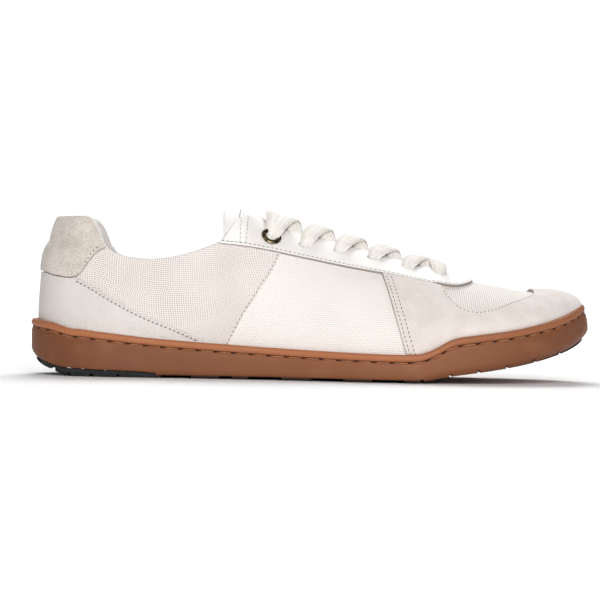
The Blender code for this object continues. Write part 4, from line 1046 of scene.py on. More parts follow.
class Bench:
    """The modelling steps that the pieces share."""

    def __init__(self, last: "Last") -> None:
        """Works in the last's own coordinates."""
        self.last = last

    @staticmethod
    def alone(obj: Piece) -> None:
        """Selects one object and makes it the active one."""
        bpy.ops.object.select_all(action="DESELECT")
        obj.select_set(True)
        bpy.context.view_layer.objects.active = obj

    def sheet(self, name: str, points: Array, uv: Array | None = None) -> Piece:
        """A sheet of quads: a grid primitive whose corners are moved to the points.

        Args:
            name: the piece's name.
            points: rows by columns by 3. Its front faces the columns' way crossed with the rows' way.
            uv: rows by columns by 2, in metres.

        Returns:
            The piece.
        """
        rows, columns = points.shape[:2]
        bpy.ops.object.select_all(action="DESELECT")
        bpy.ops.mesh.primitive_grid_add(x_subdivisions=columns - 1, y_subdivisions=rows - 1, size=0.1)
        obj = bpy.context.object
        obj.name = obj.data.name = name
        mesh = obj.data
        mesh.vertices.foreach_set("co", (points - self.last.origin).astype(np.float32).ravel())
        if uv is not None:
            corners = np.empty(len(mesh.loops), np.int32)
            mesh.loops.foreach_get("vertex_index", corners)
            mesh.uv_layers[0].data.foreach_set("uv", uv.reshape(-1, 2)[corners].astype(np.float32).ravel())
        mesh.update()
        return obj

    def metric(self, points: Array) -> Array:
        """UV in metres for a sheet: the way along each row from the rearmost column, and up each column.

        Args:
            points: rows by columns by 3.

        Returns:
            rows by columns by 2.
        """
        run, rise = np.zeros(points.shape[:2]), np.zeros(points.shape[:2])
        run[:, 1:] = np.cumsum(np.linalg.norm(np.diff(points, axis=1), axis=2), axis=1)
        rise[1:] = np.cumsum(np.linalg.norm(np.diff(points, axis=0), axis=2), axis=0)
        run -= run[:, [int(np.argmin(points[0, :, 0]))]]
        return np.stack([run, rise], axis=2)

    @staticmethod
    def mark(obj: Piece, name: str, values: Array, kind: str = "POINT") -> None:
        """Gives a mesh an attribute with a value for each point or face."""
        attribute = obj.data.attributes.new(name, "FLOAT", kind)
        attribute.data.foreach_set("value", np.asarray(values, np.float32).ravel())

    def bevel(self, obj: Piece, width: float, segments: int = 2) -> None:
        """Rounds the sharp edges."""
        corner = math.radians(50)
        self.apply(obj, "BEVEL", width=width, segments=segments, limit_method="ANGLE", angle_limit=corner)

    def apply(self, obj: Piece, kind: str, **settings: object) -> None:
        """Adds a modifier and applies it.

        Args:
            obj: the piece.
            kind: the modifier's type.
            settings: its properties by name.
        """
        self.alone(obj)
        modifier = obj.modifiers.new(kind.title(), kind)
        for key, value in settings.items():
            setattr(modifier, key, value)
        bpy.ops.object.modifier_apply(modifier=modifier.name)

    def weld(self, obj: Piece, angle: float = 50.0) -> None:
        """Merges the corners that lie on each other, and shades the rest smooth.

        Args:
            obj: the piece.
            angle: edges sharper than this stay sharp, in degrees.
        """
        self.alone(obj)
        bpy.ops.object.mode_set(mode="EDIT")
        bpy.ops.mesh.select_all(action="SELECT")
        bpy.ops.mesh.remove_doubles(threshold=WELD_REACH)
        bpy.ops.object.mode_set(mode="OBJECT")
        self.smooth(obj, angle)

    def thicken(self, obj: Piece, thickness: float, round_off: float) -> None:
        """Gives a sheet its thickness inwards, and rounds its edges.

        Args:
            obj: the sheet.
            thickness: in metres.
            round_off: the width of the rounding.
        """
        count = len(obj.data.polygons)
        self.apply(obj, "SOLIDIFY", thickness=thickness, offset=-1.0, use_even_offset=False)
        # The cut edge's faces are marked so that the leather and the suede can paint them grey as painted
        # shade.
        self.mark(obj, "cut_edge", np.arange(len(obj.data.polygons)) >= 2 * count, "FACE")
        self.bevel(obj, round_off)

    def smooth(self, obj: Piece, angle: float = 50.0) -> None:
        """Smooth shading, apart from edges sharper than the angle."""
        obj.data.shade_smooth()
        obj.data.set_sharp_from_angle(angle=math.radians(angle))

    def wear(self, obj: Piece, material: Finish, slot: str, *nodes: str) -> Piece:
        """Gives a piece its material and its place on the body, and hides the solids that it stands for.

        Args:
            obj: the piece.
            material: its finish.
            slot: the record's slot; not used.
            nodes: the solids that it replaces.

        Returns:
            The piece.
        """
        obj.data.materials.clear()
        obj.data.materials.append(material)
        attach(obj, "root")
        if nodes:
            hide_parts(*nodes)
        log.info("%s: %d faces", obj.name, len(obj.data.polygons))
        return obj

    def copies(self, name: str, model: tuple[Array, list], places: Array, axes: Array) -> Piece:
        """One mesh of many copies of a small model.

        Args:
            name: the piece's name.
            model: the small model's points and faces.
            places: where each copy is.
            axes: each copy's three axes, as columns.

        Returns:
            The piece.
        """
        points, faces = model
        moved = np.einsum("nij,kj->nki", axes, points) + places[:, None] - self.last.origin
        count = len(points)
        every = [tuple(i + k * count for i in face) for k in range(len(places)) for face in faces]
        mesh = bpy.data.meshes.new(name)
        mesh.from_pydata(moved.reshape(-1, 3).tolist(), [], every)
        obj = bpy.data.objects.new(name, mesh)
        bpy.context.scene.collection.objects.link(obj)
        self.smooth(obj, 80)
        return obj

    def model(self, length: float, width: float, height: float) -> tuple[Array, list]:
        """A small rounded bead, as the points and faces of a shaped sphere.

        Args:
            length: along its first axis.
            width: along its second.
            height: along its third.

        Returns:
            Its points and faces.
        """
        bpy.ops.object.select_all(action="DESELECT")
        bpy.ops.mesh.primitive_uv_sphere_add(segments=6, ring_count=4, radius=1.0)
        obj = bpy.context.object
        points = np.array([v.co[:] for v in obj.data.vertices])
        points = points[:, [2, 0, 1]]
        points[:, 0] = np.sign(points[:, 0]) * np.abs(points[:, 0]) ** 0.6
        # The operator gives its faces in another order at each run.
        faces = sorted(tuple(p.vertices) for p in obj.data.polygons)
        bpy.data.objects.remove(obj)
        return points * np.array([length, width, height]) / 2, faces


class Sewing:
    """Rows of stitches with a dark bead at each end, painted shade for a needle hole."""

    def __init__(self, bench: Bench, palette: Palette) -> None:
        """Keeps the places of every hole until they are made in one mesh."""
        self.bench = bench
        self.palette = palette
        self.holes: list[tuple[Array, Array]] = []
        self.stitches: list[tuple[Array, Array]] = []

    @staticmethod
    def spaced(path: Array, normals: Array, pitch: float, start: float) -> tuple[Array, Array]:
        """Points at an even pitch along a path, with their axes.

        Args:
            path: points along the row.
            normals: the surface's normals there.
            pitch: the distance from one to the next.
            start: where the first is.

        Returns:
            The points, and for each the way along, across and out of the surface, as columns.
        """
        run = way_along(path)
        at = np.arange(start, run[-1], pitch)
        ahead = np.gradient(path, axis=0) / np.maximum(np.gradient(run), 1e-9)[:, None]
        points, out, ahead = (
            np.stack([np.interp(at, run, values[:, k]) for k in range(3)], axis=1)
            for values in (path, normals, ahead)
        )
        ahead = unit(ahead)
        across = unit(np.cross(out, ahead))
        return points, np.stack([ahead, across, np.cross(ahead, across)], axis=2)

    def row(self, path: Array, normals: Array, pitch: float = 0.0023, size: float = 0.6) -> None:
        """Sews along a path that lies on the surface.

        Args:
            path: points along the row.
            normals: the surface's normals there.
            pitch: from one stitch to the next.
            size: how large its needle holes are.
        """
        self.stitches.append(self.spaced(path, normals, pitch, pitch / 2))
        places, axes = self.spaced(path, normals, pitch, 0.0)
        self.holes.append((places, axes * size))

    def finish(self) -> None:
        """Makes the threads of every row, and the dark beads that are painted shade for their needle holes.
        """
        # The needle holes are dark beads, painted shade.
        for name, rows, size, paint in (
            ("stitch_threads", self.stitches, (0.0015, 0.00055, 0.00045), self.palette.thread),
            ("needle_holes", self.holes, (0.0016, 0.00085, 0.00036), self.palette.dark),
        ):
            places = np.concatenate([row[0] for row in rows])
            axes = np.concatenate([row[1] for row in rows])
            obj = self.bench.copies(name, self.bench.model(*size), places, axes)
            self.bench.wear(obj, paint, "white_leather")


@dataclass
class Upper:
    """The mesh body: shell, rear quarter, lining and the rolled edge of the opening."""

    last: Last
    bench: Bench
    sewing: Sewing
    palette: Palette
    columns: int = 190
    rows: int = 40
    quarter_away: float = 0.00045
    quarter_thickness: float = 0.0004
    roll: float = 0.0009
    roll_over: float = 0.00022

    def ribs(self) -> Array:
        """Places all round the shoe, the same on both sides."""
        last = self.last
        throat = last.side_place(last.throat_end - np.array([0.004, 0.002, 0.0]))
        half = np.unique(np.concatenate([np.linspace(0, 3, self.columns), throat]))
        return np.concatenate([half, (6 - half[:-1])[::-1]])

    def closed_top(self, points: Array, places: Array, edges: Array) -> None:
        """Joins the two sides along the top, and the ribs of the toe at their pole.

        Args:
            points: rows by columns by 3, changed in place.
            places: the columns' places.
            edges: how far up each column goes.
        """
        closed = edges >= 1
        top = points[-1].copy()
        middle = (top + top[::-1]) / 2
        points[-1, closed] = middle[closed]
        fan = (places >= 2) & (places <= 4)
        points[-1, fan] = points[-1, fan].mean(axis=0)

    def build(self) -> None:
        """Builds the four pieces."""
        last, bench = self.last, self.bench
        places = self.ribs()
        edges = last.edge_rise(places)
        shares = np.linspace(0, 1, self.rows)[:, None]
        rises = np.concatenate([np.full((1, len(places)), -0.5), edges[None] * shares])
        grid = np.broadcast_to(places, rises.shape)
        outer = last.skin(grid, rises, np.zeros(rises.shape))
        thick = last.wall_thickness(grid, rises, edges)
        inner = last.skin(grid, np.concatenate([rises[:1] * 2, rises[1:]]), -thick)
        self.closed_top(outer, places, edges)
        self.closed_top(inner, places, edges)
        shell = bench.sheet("upper_shell", outer, bench.metric(outer))
        bench.weld(shell)
        bench.wear(shell, self.palette.fine_mesh, "white_mesh", "upper")
        lining = bench.sheet("upper_lining", inner[:, ::-1])
        bench.weld(lining)
        bench.wear(lining, self.palette.lining, "white_mesh")
        self.build_edge(outer, inner, edges)
        self.build_quarter()

    def build_edge(self, outer: Array, inner: Array, edges: Array) -> None:
        """The rolled edge round the collar and the throat.

        Args:
            outer: the shell's points.
            inner: the lining's points.
            edges: how far up each column goes.
        """
        order = np.nonzero(edges < 1)[0][:-1]
        split = int(np.argmax(np.diff(order))) + 1
        order = np.concatenate([order[split:], order[:split]])
        top, under = outer[-1, order], inner[-1, order]
        middle = (top + under) / 2
        half = (top - under) / 2
        up = unit(outer[-1, order] - outer[-4, order])
        deep = np.linalg.norm(half, axis=1)[:, None]
        size = np.minimum(deep, self.roll)
        reach = half / deep * (deep + self.roll_over)
        rows = []
        for turn in np.radians(np.linspace(-30, 210, 13)):
            lift = size * math.sin(turn) * (1.0 if math.sin(turn) > 0 else 2.0)
            rows.append(middle + reach * math.cos(turn) + up * lift)
        edge = self.bench.sheet("collar_edge", np.array(rows))
        self.bench.smooth(edge, 80)
        self.bench.wear(edge, self.palette.lining, "white_mesh")

    def build_quarter(self) -> None:
        """The rear quarter's mesh, which laps the middle panel with one row of stitches."""
        last, bench = self.last, self.bench
        shares = np.linspace(0, 1, self.rows)
        front = np.full(len(shares), float(last.side_place(0.115)))
        for _ in range(6):
            tops = last.edge_rise(front)
            rises = -0.3 + (tops + 0.3) * shares
            points = last.point(front, rises)
            wanted = eased(QUARTER_SEAM, "along", points[:, 2] / last.heel_height) * last.shoe_length
            front = front + (wanted - points[:, 0]) / ((last.toe_pole - last.heel_pole) * last.shoe_length)
        across = np.linspace(-1, 1, self.columns + 1)
        grid = np.mod(front[:, None] * across[None], 6)
        flat = np.array([last.edge_rise(row) for row in grid])
        rises = -0.3 + (flat + 0.3) * shares[:, None]
        points = last.skin(grid, rises, np.full(rises.shape, self.quarter_away))
        quarter = bench.sheet("rear_quarter", points, bench.metric(points))
        bench.thicken(quarter, self.quarter_thickness, 0.00012)
        bench.smooth(quarter)
        bench.wear(quarter, self.palette.open_mesh, "white_mesh")
        for side in (1, -1):
            seam = np.mod(side * (front - 0.0045), 6)
            rows = slice(6, -4)
            row_rises = (-0.3 + (last.edge_rise(seam) + 0.3) * shares)[rows]
            path = last.skin(seam[rows], row_rises, np.full(len(row_rises), self.quarter_away + 0.0001))
            self.sewing.row(path, last.normal(seam[rows], row_rises))


@dataclass
class Overlays:
    """The leather and suede panels on the upper, each with its stitches."""

    last: Last
    bench: Bench
    sewing: Sewing
    palette: Palette
    thickness: float = 0.0012
    tab_thickness: float = 0.0017
    tab_padding: float = 0.0008
    lift: float = 0.0005
    margin: float = 0.0019
    round_off: float = 0.0004
    tuck: float = 0.12
    clear: float = 0.0018

    def panel(
        self, name: str, places: Array, rises: Array, thickness: float, swell: float = 0.0
    ) -> tuple[Piece, Array]:
        """A panel over the last's surface.

        Args:
            name: its name.
            places: rows by columns.
            rises: rows by columns.
            thickness: its thickness.
            swell: how much it is padded in the middle.

        Returns:
            The piece, and its points.
        """
        rows, columns = places.shape
        rows_in = np.sin(np.linspace(0, math.pi, rows))[:, None]
        columns_in = np.minimum(1, 6 * np.sin(np.linspace(0, math.pi, columns)))[None]
        pad = swell * np.sqrt(np.clip(rows_in, 0, 1)) * columns_in
        points = self.last.skin(places, rises, (self.lift + thickness) * ramp(rises, -0.15, 0.06) + pad)
        piece = self.bench.sheet(name, points)
        self.bench.thicken(piece, thickness, self.round_off)
        self.bench.smooth(piece)
        return piece, points

    def sew(
        self, points: Array, inside: Array, margin: float, pitch: float = 0.0023, size: float = 0.7
    ) -> None:
        """A row of stitches at a distance inside a panel's edge.

        Args:
            points: the edge's points.
            inside: points further into the panel, one for each.
            margin: the distance from the edge.
            pitch: from one stitch to the next.
            size: how large its needle holes are.
        """
        inward = inside - points
        path = points + unit(inward) * margin
        out = unit(np.cross(np.gradient(path, axis=0), inward))
        away = path - np.array([self.last.shoe_length / 2, 0.0, 0.03])
        out *= np.sign(np.einsum("ij,ij->i", out, away * np.array([0.3, 1, 0.6])))[:, None]
        self.sewing.row(path + out * 0.00003, out, pitch, size)

    def heel_places(self, end: float, count: int) -> Array:
        """Places from the outer side round the heel to the inner side."""
        half = np.linspace(0, float(self.last.side_place(end * self.last.shoe_length)), count)
        return np.concatenate([-half[:0:-1], half])

    def build_counter(self) -> None:
        """The leather round the heel."""
        last = self.last
        signed = self.heel_places(COUNTER_SEAM["along"][-1] + 0.010, 150)[::-1]
        places = np.mod(signed, 6)
        fx = last.foot_line(places)[0] / last.shoe_length
        under_tab = eased(TAB_SEAM, "height", fx) - 0.006
        height = np.where(fx < COUNTER_SEAM["along"][0], under_tab, eased(COUNTER_SEAM, "height", fx))
        tops = last.rise_at_height(places, height * last.heel_height)
        tops = np.maximum(tops, last.rim_rise(places) + 0.004)
        shares = np.linspace(0, 1, 26)[:, None]
        grid = np.broadcast_to(places, (26, len(places)))[:, ::-1]
        rises = (-self.tuck + (tops + self.tuck) * shares)[:, ::-1]
        piece, points = self.panel("heel_counter_leather", grid, rises, self.thickness)
        self.bench.wear(piece, self.palette.heel_leather, "white_leather", "heel_counter")
        edge = points[-1]
        shown = edge[:, 2] > last.rim_height(edge[:, 0]) + self.clear
        keep = shown & ((fx > COUNTER_SEAM["along"][0] + 0.004) & (fx < COUNTER_SEAM["along"][-1]))[::-1]
        first = np.arange(len(keep)) < len(keep) // 2
        for side in (keep & first, keep & ~first):
            self.sew(edge[side], points[-6, side], 0.0011, size=0.9)

    def build_tab(self) -> None:
        """The padded suede tab over the heel."""
        last = self.last
        signed = self.heel_places(TAB_SEAM["along"][-1], 70)
        places = np.mod(signed, 6)
        fx = last.foot_line(places)[0] / last.shoe_length
        lows = last.rise_at_height(places, eased(TAB_SEAM, "height", fx) * last.heel_height)
        collar = last.collar_at(fx * last.shoe_length) - 2 * last.gap
        tops = np.maximum(last.rise_at_height(places, collar), lows + 0.01)
        shares = np.linspace(0, 1, 30)[:, None]
        grid = np.broadcast_to(places, (30, len(places)))
        rises = lows + (tops - lows) * shares
        piece, points = self.panel("heel_tab_suede", grid, rises, self.tab_thickness, self.tab_padding)
        self.bench.wear(piece, self.palette.tab_suede, "pale_suede", "heel_tab")
        self.sew(points[0, 3:-3], points[4, 3:-3], self.margin)

    def build_toe(self) -> None:
        """The suede round the toe, with a double row of stitches at its rear edges."""
        last = self.last
        count = 110
        half = np.concatenate([np.linspace(0, 1, count)[:-1], 1 + np.linspace(0, 1, 60)])
        fan = np.maximum(half, 1) - 1
        along = np.minimum(half, 1)
        top_rear = last.side_place(SUEDE_EDGE_TOP * last.shoe_length)
        foot_rear = last.side_place(SUEDE_EDGE_FOOT * last.shoe_length)
        upper = top_rear + (2 - top_rear) * along + fan
        lower = foot_rear + (2 - foot_rear) * along + fan
        fx = last.foot_line(upper)[0]
        share = fx / last.shoe_length
        tops = last.rise_at_height(upper, eased(VAMP_SEAM, "height", share) * last.heel_height)
        behind = share < VAMP_SEAM["along"][0] + 0.004
        outer_seam, inner_seam = last.eyestay_rises(fx[behind])
        tops[behind] = outer_seam
        tip = int(np.argmax(half >= 1))
        beside = last.beside_spine(upper, tops)
        shares = np.linspace(0, 1, 30)[:, None]
        sides = []
        for medial in (False, True):
            places = 6 - upper if medial else upper
            foot_places = 6 - lower if medial else lower
            reach = last.beside_spine(places, 0 * tops)
            near = np.minimum(beside, VAMP_SHARE * reach) if medial else beside.copy()
            x, y = last.foot_line(places[tip:])
            pole = last.spine_x(places[tip:])
            ahead, aside = (x - pole) / reach[tip:], (y - last.spine_y(pole)) / reach[tip:]
            near[tip:] = 1 / np.hypot(ahead / VAMP_TIP, aside / near[tip])
            edge = last.rise_at_reach(places, near + last.gap)
            edge[behind] = inner_seam - 0.006 if medial else outer_seam - 0.004
            low = np.full(len(foot_places), -self.tuck)
            sides.append((foot_places + (places - foot_places) * shares, low + (edge - low) * shares))
        grid = np.concatenate([sides[0][0], sides[1][0][:, -2::-1]], axis=1)
        rises = np.concatenate([sides[0][1], sides[1][1][:, -2::-1]], axis=1)
        piece, points = self.panel("toe_suede", grid, rises, self.thickness)
        self.bench.wear(piece, self.palette.suede, "pale_suede", "toe_guard")
        aside = np.nonzero(~behind & (half < 0.985))[0]
        for columns in (aside, points.shape[1] - 1 - aside):
            self.sew(points[-1, columns], points[-5, columns], self.margin, 0.0021)
        for column, step in ((0, 6), (-1, -7)):
            for margin in (self.margin * 0.8, self.margin * 2.1):
                self.sew(points[1:-1, column], points[1:-1, step], margin)

    def build_eyestay(self) -> Piece:
        """The leather round the throat.

        Returns:
            The piece, whose holes are cut later.
        """
        last = self.last
        centre = last.throat_end - last.throat_gap / 2
        back = np.linspace(last.eyestay_top + 0.001, centre, 150)
        seams = last.eyestay_rises(back)
        shares = np.linspace(0, 1, 20)[:, None]
        flanks = []
        for medial, seam in zip((False, True), seams):
            places = last.side_place(back, medial)
            throat = last.rise_at_reach(places, last.throat_half(back) + 2 * last.gap)
            collar = last.rise_at_height(places, last.collar_at(back) - 2 * last.gap)
            edge = collar + (throat - collar) * ramp(back, last.eyestay_top, last.throat_start)
            edge = np.maximum(edge, seam + 0.02)
            flanks.append((np.broadcast_to(places, (20, len(places))), seam + (edge - seam) * shares))
        wide = last.beside_spine(last.side_place(centre), seams[0][-1])
        turn = np.linspace(0, math.pi, 90)[1:-1]
        near = last.throat_gap / 2 + 2 * last.gap
        ahead = np.sin(turn) ** EYESTAY_CORNER
        aside = np.sign(np.cos(turn)) * np.abs(np.cos(turn)) ** EYESTAY_CORNER
        seam_x, seam_y = centre + ahead * (EYESTAY_FRONT - centre), -aside * wide
        x = seam_x + (centre + np.sin(turn) * near - seam_x) * shares
        y = seam_y + (-np.cos(turn) * near - seam_y) * shares + last.spine_y(x)
        fan = last.plan_place(x, y)
        grid = np.concatenate([flanks[0][0], fan[0], flanks[1][0][:, ::-1]], axis=1)
        rises = np.concatenate([flanks[0][1], fan[1], flanks[1][1][:, ::-1]], axis=1)
        piece, points = self.panel("eyestay_leather", grid, rises, self.thickness)
        self.sew(points[0, 2:-2], points[5, 2:-2], 0.0013)
        for along in (0.1065, 0.1090):
            column = int(np.argmin(np.abs(back - along)))
            for here, beside in ((column, column + 6), (-1 - column, -7 - column)):
                self.sew(points[2:-1, here], points[2:-1, beside], 0.0, size=0.5)
        self.bench.wear(piece, self.palette.leather, "white_leather", "eyestay")
        return piece


@dataclass
class Lacing:
    """The eyelets and the flat lace."""

    last: Last
    bench: Bench
    palette: Palette
    width: float = 0.0090
    thickness: float = 0.0019
    hole: float = 0.0027
    ring: float = 0.0052
    lift: float = 0.0025
    ring_lift: float = 0.0012
    behind: float = 0.55

    def punch(self, panel: Piece, *sheets: Piece) -> None:
        """Cuts the lace holes through a thick panel, and opens the thin sheets under them.

        Args:
            panel: the panel.
            sheets: the sheets under it.
        """
        cutters = []
        for x, beside in self.last.eyelet_spots():
            for side in Side:
                centre, normal = self.last.spot_frame(x, beside, side)
                bpy.ops.object.select_all(action="DESELECT")
                bpy.ops.mesh.primitive_cylinder_add(vertices=28, radius=self.hole, depth=0.014)
                cutter = bpy.context.object
                turn = Vector((0, 0, 1)).rotation_difference(Vector(normal)).to_matrix().to_4x4()
                cutter.data.transform(Matrix.Translation(Vector(centre - self.last.origin)) @ turn)
                cutters.append(cutter)
        for cutter in cutters:
            self.bench.apply(panel, "BOOLEAN", object=cutter, operation="DIFFERENCE", solver="FAST")
            bpy.data.objects.remove(cutter)
        for sheet in sheets:
            self.open_up(sheet)

    def open_up(self, sheet: Piece) -> None:
        """Takes out the faces of a sheet that lie under the lace holes.

        Args:
            sheet: the sheet.
        """
        middles = np.empty(len(sheet.data.polygons) * 3)
        sheet.data.polygons.foreach_get("center", middles)
        under = np.zeros(len(sheet.data.polygons), bool)
        for x, beside in self.last.eyelet_spots():
            for side in Side:
                centre, normal = self.last.spot_frame(x, beside, side)
                away = middles.reshape(-1, 3) + self.last.origin - centre
                depth = away @ normal
                reach = np.linalg.norm(away - depth[:, None] * normal, axis=1)
                under |= (np.abs(depth) < 0.007) & (reach < self.hole + 0.0005)
        self.bench.alone(sheet)
        bpy.ops.object.mode_set(mode="EDIT")
        bpy.ops.mesh.select_mode(type="FACE")
        bpy.ops.mesh.select_all(action="DESELECT")
        bpy.ops.object.mode_set(mode="OBJECT")
        sheet.data.polygons.foreach_set("select", under)
        bpy.ops.object.mode_set(mode="EDIT")
        bpy.ops.mesh.delete(type="FACE")
        bpy.ops.mesh.select_mode(type="VERT")
        bpy.ops.object.mode_set(mode="OBJECT")

    def build_rings(self) -> None:
        """The pair of brass eyelets at the top: a rolled flange and a short barrel."""
        x, beside = self.last.eyelet_spots()[0]
        turns = np.linspace(0, 2 * math.pi, 49)
        roll = np.radians(np.linspace(-60, 180, 14))
        middle, half = (self.hole + self.ring) / 2, (self.ring - self.hole) / 2
        radius = np.concatenate([middle + half * np.cos(roll), [self.hole, self.hole]])
        height = np.concatenate([0.0004 + 0.0007 * np.maximum(np.sin(roll), -0.5), [-0.001, -0.004]])
        for name, side in (("eyelet_lateral", Side.OUTER), ("eyelet_medial", Side.INNER)):
            centre, normal = self.last.spot_frame(x, beside, side)
            turn = np.array(Vector((0, 0, 1)).rotation_difference(Vector(normal)).to_matrix())
            flat = np.stack(
                [
                    radius[:, None] * np.cos(turns),
                    radius[:, None] * np.sin(turns),
                    np.broadcast_to((height + 0.0020)[:, None], (len(radius), len(turns))),
                ],
                axis=2,
            )
            ring = self.bench.sheet(f"ring_{name[8:]}", flat @ turn.T + centre)
            self.bench.weld(ring, 80)
            self.bench.wear(ring, self.palette.brass, "aged_brass", name)

    def strand(self, start: Array, end: Array, profile: Table) -> Array:
        """One visible stretch of the lace.

        Args:
            start: the middle of the hole it comes out of, from above.
            end: its last point from above.
            profile: its height over the last's surface and its width as a share of the lace's, by
                share of the way.

        Returns:
            Its skin, as rows round it by columns along it.
        """
        start = start - unit(end - start) * self.hole * self.behind
        along = np.linspace(0, 1, 54)
        height, wide = (np.interp(along, profile["along"], profile[name]) for name in ("height", "width"))
        for _ in range(5):
            height[1:-1] = (height[:-2] + 2 * height[1:-1] + height[2:]) / 4
            wide[1:-1] = (wide[:-2] + 2 * wide[1:-1] + wide[2:]) / 4
        ahead = end - start
        across = unit(np.array([-ahead[1], ahead[0]]))
        around = np.linspace(0, 2 * math.pi, 29)
        flat = np.sign(np.cos(around)) * np.abs(np.cos(around)) ** 0.5
        thick = np.sign(np.sin(around)) * np.abs(np.sin(around)) ** 0.75
        offset = flat[:, None] * wide[None] * self.width / 2
        line = start[None] + ahead[None] * along[:, None]
        x = line[None, :, 0] + across[0] * offset
        y = line[None, :, 1] + across[1] * offset
        crown = 0.0004 * (1 - flat[:, None] ** 2)
        away = height[None] + crown + (thick[:, None] + 1) / 2 * self.thickness * (1 + 0.6 * (1 - wide[None]))
        points = self.last.skin_from_above(x, y, away)
        for end in (0, -1):
            points[:, end] = points[:, end].mean(axis=0)
        return points

    def build(self) -> None:
        """Builds the crossings and the bars."""
        last = self.last
        spots = [
            [np.array([x, float(last.spine_y(x)) + side.value * beside]) for side in Side]
            for x, beside in last.eyelet_spots()
        ]
        names, top, sunk, low, tucked = "along height width", self.lift, -0.0024, -0.0006, -0.0030
        strands: list[list[Array]] = []
        for index, (near, far) in enumerate(zip(spots[:-1], spots[1:])):
            more = self.ring_lift if index == 0 else 0.0
            group = []
            for side, over in ((1, 0.0), (0, 0.0013)):
                crossing = table(
                    names, (0.0, sunk, 0.44), (0.05, low, 0.56), (0.13, top + more, 0.88),
                    (0.50, top + over, 1.05), (0.66, top + over * 0.9, 1.0), (0.86, -0.0008, 1.0),
                    (1.0, tucked, 0.95),
                )
                end = near[side] + (far[1 - side] - near[side]) * 0.90
                group.append(self.strand(near[side], end, crossing))
            strands.append(group)
        for index, (outer, inner), more in ((0, spots[0], self.ring_lift), (-1, spots[-1], 0.0)):
            bar = table(
                names, (0.0, sunk, 0.44), (0.05, low, 0.58), (0.14, top + more, 0.90),
                (0.5, top + 0.0008, 1.0), (0.86, top + more, 0.90), (0.95, low, 0.58), (1.0, sunk, 0.44),
            )
            end = inner + unit(inner - outer) * self.hole * self.behind
            strands[index].append(self.strand(outer, end, bar))
        for index, group in enumerate(strands, start=1):
            for part, points in enumerate(group, start=1):
                obj = self.bench.sheet(f"lace_{index}_strand_{part}", points[::-1], self.run(points[::-1]))
                self.bench.weld(obj, 80)
                nodes = (f"lace_{index}",) if part == 1 else ()
                self.bench.wear(obj, self.palette.lace, "cotton_lace", *nodes)

    def run(self, points: Array) -> Array:
        """UV across and along a strand, in metres."""
        rows = len(points)
        around = np.cos(np.linspace(0, 2 * math.pi, rows)) * self.width / 2
        return np.stack(np.broadcast_arrays(around[:, None], way_along(points[rows // 4])[None]), axis=2)


@dataclass
class Inside:
    """The tongue and the footbed."""

    last: Last
    bench: Bench
    sewing: Sewing
    palette: Palette
    tongue_width: float = 0.052
    tongue_thickness: float = 0.0032
    tongue_slack: float = 0.0008
    pad: float = 0.0009
    round_off: float = 0.0011
    footbed_thickness: float = 0.0035

    def build_tongue(self) -> None:
        """The padded tongue, with a bound top edge and a double row of stitches below it."""
        last = self.last
        start, end = last.eyestay_top + 0.0025, last.throat_end - last.throat_gap / 2 + 0.002
        xs = np.linspace(end, start, 150)
        wanted = self.tongue_width / 2 * (1 - 0.4 * ramp(xs, xs[-1], xs[0]))
        lateral, medial = (
            np.minimum(wanted, 0.8 * last.beside_spine(last.side_place(xs, medial), 0 * xs))
            for medial in (False, True)
        )
        shares = np.linspace(-1, 1, 61)[None, :]
        x = np.repeat(xs[:, None], 61, axis=1)
        y = np.where(shares < 0, lateral[:, None], medial[:, None]) * shares + last.spine_y(x)
        slack = self.tongue_slack * (1 - ramp(x, last.throat_start, last.throat_start + 0.02))
        clear = last.wall + 3 * last.gap + slack
        middle = np.exp(-((np.abs(shares) * self.tongue_width / 2 / 0.008) ** 2))
        swell = self.pad * middle * ramp(np.abs(xs[:, None] - xs[0]), 0.0, 0.02)
        swell = swell + 0.0007 * np.exp(-(((x - start - 0.0022) / 0.0016) ** 2))
        crease = 0.00035 * np.exp(-(((x - start - 0.0105) / 0.0007) ** 2))
        points = last.skin_from_above(x, y, -clear + swell - crease)
        wanted_top = eased(TONGUE_TOP, "height", xs / last.shoe_length) * last.heel_height
        rise = (wanted_top - points[:, 30, 2]) * (1 - ramp(xs / last.shoe_length, 0.425, 0.460))
        points[..., 2] += rise[:, None] * (1 - shares**2) ** 0.6
        tongue = self.bench.sheet("tongue_padded", points)
        self.bench.apply(tongue, "SOLIDIFY", thickness=self.tongue_thickness, offset=-1.0)
        self.bench.bevel(tongue, self.round_off, 3)
        self.bench.smooth(tongue, 60)
        self.bench.wear(tongue, self.palette.leather, "white_mesh", "tongue")
        ups = last.normal(*last.plan_place(x, y))
        for back in (0.0085, 0.0112):
            column = int(np.argmin(np.abs(xs - start - back)))
            path = points[column] + ups[column] * 0.00005
            self.sewing.row(path[3:-3], ups[column][3:-3], 0.0025)

    def build_footbed(self) -> None:
        """The footbed's cloth, with a soft edge."""
        last = self.last
        places = np.linspace(0, 6, 241)
        edge = np.stack(last.foot(places, last.rim_width + last.wall + 3 * last.gap), axis=1)
        inner = np.stack([last.spine_x(places), np.zeros(len(places))], axis=1)
        rows = []
        shares = (0.0, 0.2, 0.45, 0.7, 0.88, 0.96, 1.0)
        drops = (0.0, 0.0, 0.0, 0.0, 0.0, 0.0003, 0.0012)
        for share, drop in zip(shares, drops):
            flat = inner + (edge - inner) * share
            height = last.cup_floor(flat[:, 0]) + self.footbed_thickness + 0.0005 - drop
            rows.append(np.column_stack([flat, height]))
        rows.append(np.column_stack([edge, last.cup_floor(edge[:, 0]) + 0.0005]))
        bed = self.bench.sheet("footbed", np.array(rows)[::-1])
        self.bench.weld(bed)
        self.bench.wear(bed, self.palette.footbed, "insole_foam", "insole")


